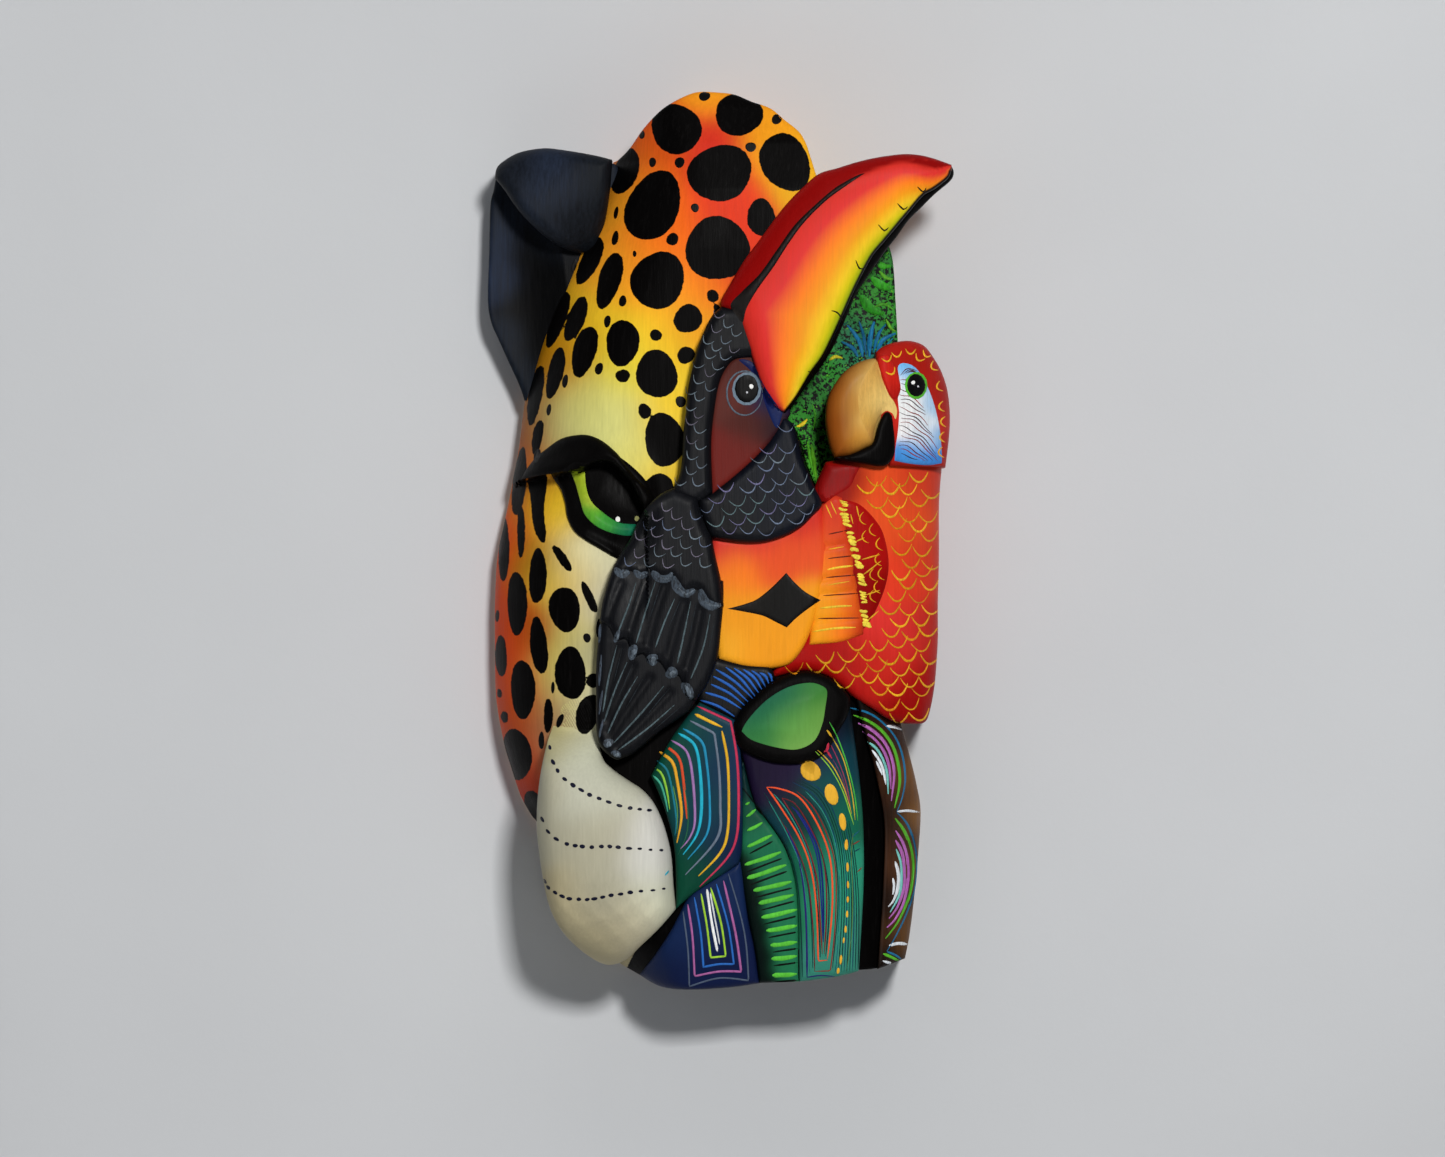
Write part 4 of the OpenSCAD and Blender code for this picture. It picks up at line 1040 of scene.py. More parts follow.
def ground_only(q):
    """Distance in mm to the black round the birds and the panels, negative inside it."""
    birds = np.minimum(signed(q, curve(GROUND)), signed(q, curve(FOLIAGE_GROUND)))
    socket = np.minimum(signed(q, curve(EYE)), signed(q, curve(BROW))) + 0.8
    return np.minimum(birds, socket)


def ground_paint(q):
    return np.minimum(spots(q), ground_only(q))


# ---------------------------------------------------------------- painted washes, as (x, z, paint[, reach])
CAT_COLOURS_AND_WING_SHADOW = [(0, 45, "red"), (8, 20, "scarlet"), (15, -10, "scarlet", 12), (-20, 45, "burnt orange"),
    (-30, 35, "flame"), (-36, 25, "amber"), (30, 48, "marigold"), (42, 36, "gold"), (0, 66, "marigold", 9),
    (-18, 10, "flame"), (-25, -5, "orange"), (-35, -10, "amber"), (0, -20, "orange"), (-10, -30, "amber"),
    (0, -34, "amber", 8), (-20, -40, "sun"), (0, -60, "yellow"), (-35, -50, "lime yellow"),
    (-15, -70, "yellow"), (-12, -95, "sun"), (-45, -35, "sun"), (-60, -40, "ochre"), (-66, -50, "dark ochre"),
    (-50, -65, "straw"), (-28, -85, "straw"), (-40, -72, "pale straw"), (-60, -75, "pale straw"),
    (-75, -75, "sienna"), (-80, -95, "rust"), (-86, -120, "tangerine"), (-86, -160, "tangerine"),
    (-84, -190, "tangerine"), (-80, -213, "tangerine"), (-76, -230, "brick"), (-72, -200, "sienna"),
    (-73, -130, "olive", 8), (-73, -160, "sienna", 8), (-65, -110, "sun"), (-60, -140, "mustard"),
    # The greyer bone and grey points at (-45, -150) and (-50, -170), on the cream left of the toucan's wing,
    # are the wing's painted shadow.
    (-50, -130, "cream"), (-45, -150, "bone"), (-50, -170, "painted wing shadow grey", 8), (-55, -165, "khaki"),
    (-60, -185, "khaki"), (-48, -190, "ivory"), (-62, -205, "drab"), (-50, -222, "putty"),
    (-70, -250, "tan", 8), (-45, -250, "putty"), (-25, -255, "ivory"), (-45, -288, "sand"),
    (-30, -278, "parchment")]
# The muzzle is cream. The darker drab and putty down its left edge are painted shade, and the sand at its
# bottom is partly its brownish facets and partly painted shade.
MUZZLE_COLOURS_WITH_SHADE = [(-60, -193, "khaki"), (-50, -193, "cream"), (-66, -208, "drab", 8), (-50, -210, "ivory"),
    (-67, -226, "putty", 8), (-48, -226, "bone"), (-69, -250, "putty", 8), (-45, -250, "putty"),
    (-22, -255, "chalk"), (-20, -275, "ivory"), (-45, -272, "putty"), (-30, -285, "parchment"),
    (-63, -275, "sand"), (-57, -287, "sand"), (-45, -293, "sand")]
STAR_COLOURS = [(20, -120, "coral"), (4, -124, "coral"), (42, -113, "red"), (12, -137, "orange"),
    (30, -132, "vermilion"), (48, -128, "vermilion"), (10, -152, "marigold"), (30, -156, "marigold"),
    (46, -150, "marigold"), (24, -172, "marigold"), (5, -170, "amber")]
MACAW_COLOURS = [(60, -97, "oxblood", 7), (54, -100, "oxblood", 7), (75, -100, "vermilion"),
    (92, -98, "poppy"), (85, -115, "vermilion"), (95, -130, "poppy"), (84, -140, "scarlet"),
    (97, -160, "carmine"), (82, -160, "coral"), (74, -175, "red"), (92, -185, "crimson"),
    (60, -180, "crimson"), (45, -172, "crimson"), (85, -196, "oxblood")]
MACAW_HEAD_COLOURS = [(84, -43, "garnet"), (78, -52, "garnet"), (100, -60, "garnet"), (101, -88, "garnet"),
    (78, -86, "garnet"), (90, -75, "red")]
BEAK_COLOURS = [(52, -70, "saddle"), (55, -57, "saddle"), (55, -84, "saddle"), (62, -51, "bronze", 7),
    (59, -66, "bronze", 5), (63, -66, "honey", 5), (65, -80, "honey", 6), (70, -58, "buff"),
    (72, -70, "buff"), (76, -64, "wheat", 6)]
FOLIAGE_COLOURS = [(75, -5, "fern"), (60, -30, "fern"), (48, -62, "fern"), (70, -20, "leaf green"),
    (78, -30, "leaf green"), (55, -48, "leaf green"), (42, -75, "leaf green"), (66, -40, "teal"),
    (46, -92, "bright green")]
LEAF_COLOURS = [(20, -195, "sea green"), (32, -187, "sea green"), (45, -186, "fern"), (22, -206, "moss"),
    (36, -200, "grass"), (48, -198, "pale grass"), (40, -209, "pear")]
HEX_COLOURS = [(-22, -222, "bottle green"), (-12, -205, "bottle green"), (-8, -265, "bottle green"),
    (2, -205, "petrol"), (0, -235, "petrol"), (10, -215, "navy"), (12, -250, "midnight")]
NESTED_COLOURS = [(-8, -285, "navy"), (8, -270, "navy"), (0, -305, "midnight"), (18, -300, "midnight")]
BAR_COLOURS = ([(15, -225, "deep teal", 6), (17, -238, "pine", 5), (22, -250, "viridian", 5),
    (25, -258, "viridian", 5)] + [(29 + 1.7 * i, -268 - 11.7 * i, "emerald",
    5) for i in range(4)] + [(14 + 2.3 * i, -262 - 11.5 * i, "green black", 6) for i in range(5)])
STRIPE_COLOURS = [(30, -212, "plum"), (30, -224, "plum"), (22, -220, "dark plum"), (46, -208, "indigo"),
    (56, -200, "ink blue"), (60, -215, "petrol"), (30, -244, "petrol", 6), (38, -238, "deep teal"),
    (50, -230, "dark teal"), (60, -240, "sea green"), (44, -258, "sea green"), (58, -262, "jade"),
    (52, -280, "jade"), (40, -280, "emerald"), (60, -290, "dull jade"), (46, -302, "dull jade")]
# The side panel runs from soot black at its left to tobacco at its right edge. This is partly the brown's own
# gradient and partly painted light, where the panel faces the lamp on the right.
SIDE_COLOURS = [(62, -192, "soot"), (67, -215, "soot"), (71, -240, "soot"), (72, -270, "soot"),
    (72, -300, "soot"), (77, -205, "dark brown"), (79, -250, "dark brown"), (80, -290, "dark brown"),
    (81, -225, "brown"), (83, -262, "brown"), (88, -222, "tobacco", 7), (91, -240, "tobacco", 7),
    (90, -262, "tobacco", 7), (87, -290, "tobacco", 7)]
RAY_COLOURS = [(10, -185, "coal")]
SHOULDER_COLOURS = [(-10, -120, "blue black"), (-15, -145, "coal")]
WING_COLOURS = [(-10, -165, "blue black"), (-40, -205, "coal")]
NECK_COLOURS = [(-6, -80, "blue black"), (12, -38, "coal")]
BREAST_COLOURS = [(5, -115, "blue black"), (30, -98, "night")]
TOUCAN_CHEEK_COLOURS = [(8, -60, "chestnut"), (20, -75, "dark maroon"), (12, -50, "dark maroon"),
    (5, -90, "maroon"), (16, -88, "maroon"), (28, -76, "aubergine", 6), (26, -64, "midnight", 6)]
# The ear is navy paint. The cup's lighter slate-blue down its left rim is painted sheen, and its pitch black
# below the fold and inside on the right is painted shade and the fold's painted shadow.
EAR_COLOURS_SHEEN_AND_SHADE = [(-66, 28, "slate blue"), (-66, 12, "dark slate"), (-80, 34, "slate"), (-50, 28, "slate"),
    (-91, 12, "slate"), (-56, 8, "coal"), (-88, -10, "slate blue", 7), (-88, 8, "slate blue", 7),
    (-86, -38, "slate", 7), (-76, -5, "pitch", 7), (-72, -18, "pitch"), (-62, -20, "pitch"),
    (-70, -38, "pitch"), (-78, 6, "pitch", 6), (-90, 22, "dark slate", 6), (-80, -50, "dark slate", 6)]
FOLD_COLOURS = [(-66, 30, "slate blue"), (-66, 10, "slate"), (-82, 34, "slate"), (-50, 30, "graphite"),
    (-56, 8, "graphite"), (-86, 28, "graphite")]
EYE_COLOURS = [(-50, -110, "pitch")]
WING_BAND_COLOURS = [(51, -110, "poppy"), (57, -112, "poppy"), (52, -122, "vermilion"), (51, -135, "orange"),
    (49, -148, "marigold"), (47, -160, "marigold"), (60, -126, "carmine", 6), (62, -138, "carmine", 6),
    (64, -150, "carmine", 5), (65, -160, "carmine", 5), (58, -138, "burnt orange", 6), (60, -150, "flame", 6),
    (57, -160, "flame", 6)]
LOBE_COLOURS = [(64, -110, "crimson"), (74, -125, "crimson"), (70, -145, "oxblood"), (64, -158, "oxblood")]


def tint(colours, reach=13.0):
    return lambda x, z, dist: wash(x, z, colours, reach)


INK = "060505"
CAT_PAINT = painted("cat_paint", marks=(("black", INK, 0.3),), rough=(0.34, 0.5), streak=0.09, grain=0.3,
    gloss=0.02)
MUZZLE_PAINT = painted("muzzle_paint", marks=(("black", INK, 0.35),), rough=(0.42, 0.6), streak=0.07,
    grain=0.4, gloss=0.08)
DARK_PAINT = painted("toucan_paint", rough=(0.34, 0.54), streak=0.3, grain=0.4, gloss=0.11)
EAR_PAINT = painted("ear_paint", rough=(0.46, 0.62), streak=0.45, grain=0.45, gloss=0.08)
BRIGHT_PAINT = painted("bill_paint", rough=(0.36, 0.5), streak=0.08, grain=0.2, gloss=0.05)
PANEL_PAINT = painted("panel_paint", rough=(0.34, 0.52), streak=0.07, grain=0.3, gloss=0.06)
MACAW_PAINT = painted("macaw_paint", rough=(0.32, 0.5), streak=0.08, grain=0.3, gloss=0.05)
BLACK_PAINT = painted("black_paint", INK, rough=(0.38, 0.6), grain=0.4, gloss=0.04)
FOLIAGE_PAINT = painted("foliage_paint", rough=(0.55, 0.72), streak=0.25, grain=0.2,
    speckle=("050906", 560, (0.47, 0.55)), gloss=0.15)
SIDE_PAINT = painted("side_paint", rough=(0.42, 0.6), streak=0.35, grain=0.4, gloss=0.08)
STROKE_PAINT = stroke_paint("stroke_paint")
BARE_WOOD = bare_wood("bare_wood")
PLATE_STEEL = steel("hanger_steel", "a9abac")
SCREW_STEEL = steel("screw_steel", "b5a878")

# ---------------------------------------------------------------- the hollow shell
shell_line = shifted(curve(SHELL, 1.0), -0.3)
cavity_line = curve(CAVITY, 1.5)
foliage_line = curve(FOLIAGE, 0.8)
PLATE_W, PLATE_H, PLATE_T, PLATE_RISE, PLATE_GAP = 32.0, 19.0, 1.6, 3.0, 0.2
POCKET_R, POCKET_DEPTH = 6.0, 10.0
FOLIAGE_SEAT, FOLIAGE_BACK = 35.0, 30.0      # the shell's front and back where the foliage panel lies
plate_z = HANG_Z + PLATE_RISE
half_w, half_h = PLATE_W / 2 + PLATE_GAP, PLATE_H / 2 + PLATE_GAP
plate_line = curve([(sx * half_w, plate_z + sz * half_h)
    for sx, sz in ((-1, -1), (1, -1), (1, 1), (-1, 1)) for _ in range(2)], 1.5)
pocket_line = curve([(POCKET_R * math.cos(a), HANG_Z + POCKET_R * math.sin(a))
    for a in np.arange(18) * math.pi / 9], 1.0)


def shell_top(x, z, dist):
    d = face(x, z) - 0.9 * rounded(dist, 1.6)
    q = np.stack([x, z], 1)
    near = (x > 28) & (z > -104) & (z < 6)      # a box round the foliage
    if near.any():
        d[near] = np.where(inside(q[near], foliage_line), FOLIAGE_SEAT, d[near])
    return d


def shell_back(x, z, dist):
    q = np.stack([x, z], 1)
    d = np.zeros(len(x))
    gap = signed(q, cavity_line)
    hollow = gap < -0.2
    hollowed = crown(x, z) - WALL_T - rounded(-gap, 11) \
        + 0.5 * np.sin(0.31 * x + 1.7 * np.sin(0.05 * z)) * ease(-gap / 8)
    near_foliage = signed(q, foliage_line) < 3
    hollowed = np.where(near_foliage, np.minimum(hollowed, FOLIAGE_BACK), hollowed)
    d[hollow] = np.maximum(hollowed[hollow], 0.5)
    d[signed(q, plate_line) < -0.05] = PLATE_T + 0.1
    d[signed(q, pocket_line) < -0.05] = POCKET_DEPTH
    return d


def shell_black(verts, flat):
    """The black paint: the front's spots, rounded off over the rim, and more spots down the side."""
    black = ground_paint(flat)
    rim = edge_distance(flat, shell_line) < 0.05
    depth = -verts[rim, 1] / MM
    drop = np.maximum(shell_top(flat[rim, 0], flat[rim, 1], np.zeros(rim.sum())) - depth, 0)
    laps = np.concatenate([[0], np.cumsum(np.linalg.norm(np.diff(shell_line, axis=0), axis=1))])
    along = laps[np.argmin(((flat[rim, None] - shell_line[None]) ** 2).sum(2), axis=1)]
    mark = np.full(rim.sum(), 50.0)
    for at in np.arange(8, laps[-1] - 8, 13.5):
        at, low = at + RANDOM.uniform(-2.5, 2.5), RANDOM.uniform(15, 46)
        wide, tall = RANDOM.uniform(4.2, 6.4), RANDOM.uniform(4.6, 7.8)
        k = np.sqrt(((along - at) / wide) ** 2 + ((drop - low) / tall) ** 2)
        mark = np.minimum(mark, (k - 1) * 0.5 * (wide + tall))
    clear = np.where(ground_only(flat[rim]) < 2, black[rim], black[rim] + 0.9 * drop)
    black[rim] = np.minimum(clear, np.where(clear > 2.5, mark, 50))
    return black


verts, flat, faces, side_faces = closed_slab(shell_line, shell_top, shell_back, GRID_STEP, STEEP_RINGS,
    lines=[foliage_line, shifted(foliage_line, -0.35)], back_lines=[cavity_line,
    shifted(cavity_line, -0.4), shifted(cavity_line, -3.0), plate_line, shifted(plate_line, -0.3),
    pocket_line, shifted(pocket_line, -0.3)], back_step=4.0, levels=22)
slots = np.ones(len(faces), int)
slots[:side_faces] = 0
shell = make_object("mask_shell_carved", verts, faces, [CAT_PAINT, BARE_WOOD], slots,
    {"paint": wash(flat[:, 0], flat[:, 1], CAT_COLOURS_AND_WING_SHADOW, 13.0), "black": shell_black(verts, flat)}, 40)
close_slits(shell)
declare(shell, "mask_shell")
SURFACES.append((verts, faces))

# ---------------------------------------------------------------- the cat's pieces
relief("ear_cup_carved", "cat_ear_cup", EAR, ear_cup, level(4), tint(EAR_COLOURS_SHEEN_AND_SHADE, 10), EAR_PAINT)
relief("ear_fold_carved", "cat_ear_fold", EAR_FOLD, ear_fold, level(30), tint(FOLD_COLOURS, 12),
    EAR_PAINT)
relief("muzzle_carved", "cat_muzzle", MUZZLE, muzzle_form, behind(3.5),
    tint(MUZZLE_COLOURS_WITH_SHADE, 12), MUZZLE_PAINT, {"black": lambda q: np.where(q[:, 0] < -64, 50.0, spots(q))})
relief("brow_carved", "cat_brow", BROW, over(3.2, 3.5), behind(8), tint(EYE_COLOURS),
    BLACK_PAINT)
relief("eye_carved", "cat_eye", EYE, eye_form, behind(4), tint(EYE_COLOURS), BLACK_PAINT)

# ---------------------------------------------------------------- the toucan's pieces
relief("neck_carved", "toucan_neck", NECK, over(15.6, 4.0), behind(3),
    tint(NECK_COLOURS), DARK_PAINT)
relief("toucan_cheek_carved", "toucan_cheek", TOUCAN_CHEEK, over(12, 2.0), behind(3),
    tint(TOUCAN_CHEEK_COLOURS, 8), PANEL_PAINT)
relief("breast_carved", "toucan_breast", BREAST, over(13.6, 3.5), behind(3),
    tint(BREAST_COLOURS), DARK_PAINT)
relief("shoulder_carved", "toucan_shoulder", SHOULDER, over(19.3, 4.5),
    behind(3), tint(SHOULDER_COLOURS), DARK_PAINT)
relief("coverts_carved", "toucan_coverts", COVERTS,
    grooved(over(17.5, 3.5), COVERT_LINES, 0.9, 1.7), behind(3),
    tint(WING_COLOURS), DARK_PAINT)
relief("primaries_carved", "toucan_primaries", PRIMARIES,
    grooved(over(14.5, 3.5), PRIMARY_LINES, 0.8, 1.6), behind(3),
    tint(WING_COLOURS), DARK_PAINT)
relief("upper_bill_carved", "toucan_upper_bill", UPPER_BILL, bill_top, bill_back,
    bill_paint, BRIGHT_PAINT, rings=(0.3, 0.8, 1.5, 2.4, 3.5, 4.8, 6.2))
relief("lower_bill_carved", "toucan_lower_bill", LOWER_BILL, strip_top, bill_back,
    tint(EYE_COLOURS), BLACK_PAINT)

# ---------------------------------------------------------------- the macaw's pieces
relief("macaw_body_carved", "macaw_body", MACAW_BODY, macaw_round(0, 4.5), over_hollow(12),
    tint(MACAW_COLOURS, 11), MACAW_PAINT)
relief("macaw_head_carved", "macaw_head", MACAW_HEAD, macaw_round(7, 5), level(12),
    tint(MACAW_HEAD_COLOURS, 9), MACAW_PAINT)
relief("macaw_beak_carved", "macaw_upper_beak", UPPER_BEAK, macaw_round(8, 7), level(14),
    tint(BEAK_COLOURS, 8), BRIGHT_PAINT)
relief("macaw_hook_carved", "macaw_lower_beak", HOOK, macaw_round(8.0, 2.5), level(14),
    tint(EYE_COLOURS), BLACK_PAINT)
relief("wing_band_carved", "macaw_wing", WING_BAND, wing_fan(2, ((-125, 0.15), (-138, 0.2),
    (-145, 0.1), (-156, 0.1)), 2.5), over_hollow(30, 5.0), tint(WING_BAND_COLOURS, 9), MACAW_PAINT)
relief("wing_lobe_carved", "macaw_wing_lobe", WING_LOBE, macaw_round(0.6, 3.5),
    over_hollow(30, 5.0), tint(LOBE_COLOURS, 9), MACAW_PAINT)

# ---------------------------------------------------------------- the panels
relief("foliage_carved", "foliage_panel", FOLIAGE,
    lambda x, z, dist: 41 + 0.5 * np.sin(0.5 * x) * np.cos(0.4 * z) - rounded(dist, 1.5), level(36),
    tint(FOLIAGE_COLOURS, 10), FOLIAGE_PAINT)
relief("star_panel_carved", "star_panel", STAR_PANEL, over(8, 3), behind(3),
    tint(STAR_COLOURS, 9), PANEL_PAINT)
relief("leaf_rim_carved", "leaf_rim", LEAF_RIM, over(13, 4), behind(3), tint(EYE_COLOURS),
    BLACK_PAINT)
relief("leaf_blade_carved", "leaf_blade", LEAF, leaf_bulge, behind(3), tint(LEAF_COLOURS, 9),
    PANEL_PAINT)
relief("ray_panel_carved", "ray_panel", RAYS, over(8, 2.5), behind(3), tint(RAY_COLOURS),
    DARK_PAINT)
relief("hex_panel_carved", "hex_panel", HEX, over(10, 3), behind(3), tint(HEX_COLOURS),
    PANEL_PAINT)
relief("nested_panel_carved", "nested_panel", NESTED, over(7, 3), behind(3),
    tint(NESTED_COLOURS), PANEL_PAINT)
relief("bar_panel_carved", "bar_panel", BARS, over(6, 2.5), behind(3), tint(BAR_COLOURS),
    PANEL_PAINT)
relief("stripe_panel_carved", "stripe_panel", STRIPES, over(8, 3), behind(3),
    tint(STRIPE_COLOURS, 9), PANEL_PAINT)
relief("side_panel_carved", "side_panel", SIDE, over(7, 3), behind(3), tint(SIDE_COLOURS, 10),
    SIDE_PAINT)


# ---------------------------------------------------------------- paint strokes
CANVAS = Canvas()


def scallop(group, x, z, width, drop, tilt, colour, thick, dry=0.35):
    """A U of paint hanging between two points, turned by tilt degrees."""
    t = math.radians(tilt)
    path = []
    for s in (-1.0, -0.8, -0.4, 0.0, 0.4, 0.8, 1.0):
        u, v = s * width / 2, -drop * (1 - abs(s) ** 2.2)
        path.append((x + u * math.cos(t) + v * math.sin(t), z - u * math.sin(t) + v * math.cos(t)))
    ribbon(group, path, thick, colour, ends=(0.5, 0.5), dry=dry, step=1.0)


def scallops(group, area, avoid, pitch, rows, width, drop, tilt, colours, thick, margin=1.5, jitter=0.4,
             low=-400, high=100, dry=0.35):
    """Staggered rows of scallops over an area."""
    line = curve(area, 1.0)
    walls = [curve(a, 1.0) for a in avoid]
    lo, hi = line.min(0), line.max(0)
    row = 0
    z = hi[1]
    while z > lo[1]:
        x = lo[0] + (0.5 * pitch if row % 2 else 0.0)
        while x < hi[0]:
            px, pz = x + RANDOM.uniform(-jitter, jitter), z + RANDOM.uniform(-jitter, jitter)
            wide = width * RANDOM.uniform(0.9, 1.08)
            turn = tilt + RANDOM.uniform(-6, 6)
            colour = colours[RANDOM.integers(len(colours))]
            fat = thick * RANDOM.uniform(0.75, 1.2)
            q = np.array([(px, pz)])
            clear = low < pz < high and signed(q, line)[0] < -margin
            if clear and all(signed(q, w)[0] > margin for w in walls):
                scallop(group, px, pz + drop / 2, wide, drop, turn, colour, fat, dry)
            x += pitch
        z -= rows
        row += 1


# filled areas of paint
patch("eye_iris", "eye_paint", [(-57, -94), (-55.5, -99), (-53.5, -106), (-51.5, -112), (-46.5, -117),
    (-40, -119.8), (-34, -121), (-30.5, -120.2), (-28, -116), (-28, -116), (-33, -116), (-38, -115),
    (-44, -111), (-49, -106), (-51, -100), (-51.5, -94), (-51.5, -94)],
    [(-55, -96, "a4b82a"), (-52, -104, "9ab52a"), (-49, -111, "5aa830"), (-42, -116, "3e9a3a"),
    (-36, -118, "1f7a48"), (-30, -118.5, "0d6b50"), (-48, -106, "c0c848", 3)], reach=4, bulge=0.5,
    bulge_reach=3, ground=eye_form)
patch("toucan_blue_strip", "toucan_cheek_paint", [(13.5, -47.2), (19.4, -48.6), (24, -58), (31.8, -69.6),
    (31.8, -69.6), (29.3, -75.8), (25, -67.1), (21.9, -57.2), (18, -51.4)],
    [(18, -50, "121c4c"), (24, -60, "0e164a"), (30, -72, "102052")], reach=6)
patch("star_mark", "star_paint", [(8.6, -151.7), (8.6, -151.7), (15.1, -150), (20.9, -147.8),
    (26.6, -143.4), (30.3, -139.8), (33.4, -136.6), (33.4, -136.6), (36.8, -140.5), (41.8, -144.9),
    (47.9, -148.1), (47.9, -148.1), (42.6, -151.7), (37.5, -155.7), (33.6, -159.6), (33.6, -159.6),
    (28.8, -157.2), (23.7, -154.7), (16.5, -153.1)], [(30, -148, "0a0908"), (12, -151, "15110f"),
    (40, -150, "080707")], reach=8)
patch("macaw_face_patch", "macaw_paint", [(80.4, -50), (82.5, -48.4), (86.9, -49.5), (91.2, -54.4),
    (95.5, -64.1), (98.2, -74.9), (99.3, -85.7), (99.3, -90.3), (99.3, -90.3), (93.3, -91.2),
    (85.8, -90.7), (79, -89.5), (79, -89.5), (79.3, -84.6), (80.4, -77), (80.9, -69.5), (80.4, -63),
    (81.5, -58.7), (80.9, -54.4)], [(83, -50, "6ab4ec"), (89, -53, "7ab8ea"), (82, -58, "e8eef2"),
    (86, -66, "f0f2f2"), (95, -66, "a8ccec", 4), (83, -76, "f0eeee"), (91, -74, "e4ecf4"),
    (98, -80, "7ab0e6", 4), (84, -87, "4a98e2"), (92, -88, "3f8fe0"), (98, -89, "3a84d8"),
    (80, -87, "3a84d0", 4), (92, -80, "cfe0f2")], reach=5)
patch("macaw_nose_strip", "macaw_paint", [(71.7, -46.8), (76.1, -45.2), (78.8, -50), (81.5, -57.6),
    (80.9, -61.9), (78.8, -63.5), (76.6, -60.8), (73.9, -54.4)],
    [(74, -48, "c42018"), (78, -56, "cc2418"), (79, -62, "a81410")], reach=5, height=0.6)
patch("beak_cream", "beak_paint", [(71.7, -47.8), (68, -51.5), (65.3, -55.8), (63.7, -61), (63.7, -66.5),
    (65.2, -73), (69.6, -81.6), (69.6, -81.6), (70.4, -77), (72.4, -71.5), (75.3, -68.6), (78, -69.6),
    (79.4, -72), (80, -68), (78.6, -64.4), (76.4, -61.4), (73.6, -54.6)],
    [(66, -60, "cc9a48"), (68, -54, "cc9e50"), (72, -62, "e2be6c"), (67, -72, "cfa04c"), (76, -66, "e6c478"),
    (69, -79, "c08a44", 4)], reach=6, height=0.15)
patch("bill_dark_line", "bill_paint", [(10, -24.2), (15.1, -18.4), (22.3, -11.2), (29.5, -1.1),
    (36.8, 9.1), (45.5, 17.7), (54.1, 25), (62.8, 30), (66.4, 31.1), (66.4, 31.1), (58.5, 25.7),
    (49.8, 19.2), (41.1, 10.5), (34.6, 1.8), (28.1, -8.3), (20.9, -18.4), (16.6, -26), (15.1, -31.4),
    (12.5, -28.8)], [(14, -25, "242120", 5), (20, -16, "0e0a0a"), (40, 10, "140807"), (60, 28, "1c0907")],
    reach=8, dry=0.35)
patch("macaw_throat", "macaw_paint", [(50, -91), (50, -91), (64.5, -92), (64.5, -92), (62.4, -96),
    (60, -100.5), (54, -104.2), (49, -108), (49, -108), (47, -104), (47, -98)],
    [(50, -98, "7c0b0b"), (60, -94, "8e0d0d"), (53, -104, "960f0e")], reach=6)
CANVAS = Canvas()      # the patches are part of the ground for the strokes

# the cat
for x, z, rx, rz, tilt in SMALL_SPOTS:
    dab("cat_small_spots__cat_paint", x, z, rx, rz, INK, tilt, 0.1, dry=0.1)
WHISKERS = [[(-66, -210), (-64.5, -216), (-62.5, -219.5), (-59.5, -223), (-56, -225.5), (-52.5, -227.5),
    (-49, -229.5), (-45, -231), (-41, -232.5), (-36.5, -234), (-32, -235), (-28, -235.5), (-24, -236)],
    [(-69, -240), (-66.5, -245), (-63, -248), (-58.5, -250), (-55, -250.7), (-52, -251), (-48, -251.3),
    (-44, -251), (-40.5, -251), (-37, -251.3), (-32.5, -251.8), (-28, -252), (-23.5, -252.5),
    (-19, -252.8)],
    [(-68, -266), (-66.5, -268.5), (-63.5, -270.5), (-60.5, -272), (-57.5, -273), (-53.5, -273.2),
    (-50, -273.3), (-47, -273), (-43.5, -272.3), (-40, -271.5), (-36, -271), (-32, -270.3),
    (-27.5, -269.8), (-22.5, -269.5), (-18, -269)]]
for row in WHISKERS:
    for (x0, z0), (x1, z1) in zip(row,
            row[1:] + [(2 * row[-1][0] - row[-2][0], 2 * row[-1][1] - row[-2][1])]):
        lean = -math.degrees(math.atan2(z1 - z0, x1 - x0))
        dab("whisker_dots__muzzle_paint", x0, z0, RANDOM.uniform(1.0, 1.35) * (1 if x0 < -30 else 0.8),
            RANDOM.uniform(0.62, 0.85) * (1 if x0 < -30 else 0.75), "14162a",
            lean, 0.2)
ribbon("whisker_dots__muzzle_paint", [(-17.5, -263.5), (-15.8, -261.5)], 0.8, "28b4d0")

dab("eye_glints__eye_paint", -37.5, -114, 1.1, 1.1, "f2f2ee", height=0.35)
dab("eye_glints__eye_paint", -29.5, -113.7, 1.1, 1.1, "8a8a58", height=0.35)
# the toucan
scallops("nape_scales__toucan_paint", NECK, [TOUCAN_CHEEK, UPPER_BILL], 7.6, 3.5, 5.2, 2.7, 24,
    ["76848f", "6c7886", "76838e", "747080"], 0.5, margin=1.5, low=-101, jitter=0.8, dry=0.5)
scallops("breast_scales__toucan_paint", BREAST, [LOWER_BILL, UPPER_BILL], 8.4, 4.4, 7.4, 3.5, -12,
    ["76848f", "6a7690", "74829a", "78749a", "687f84"], 0.55, margin=1.5, low=-121, jitter=0.9, dry=0.45)
scallops("shoulder_scales__toucan_paint", SHOULDER, [BREAST, NECK], 7.8, 4.0, 5.6, 2.9, 28,
    ["76848f", "6a7690", "76838e", "7c7688"], 0.52, margin=1.8, low=-133.5, jitter=0.6, dry=0.5)
TIP_BLUE = "4c5661"
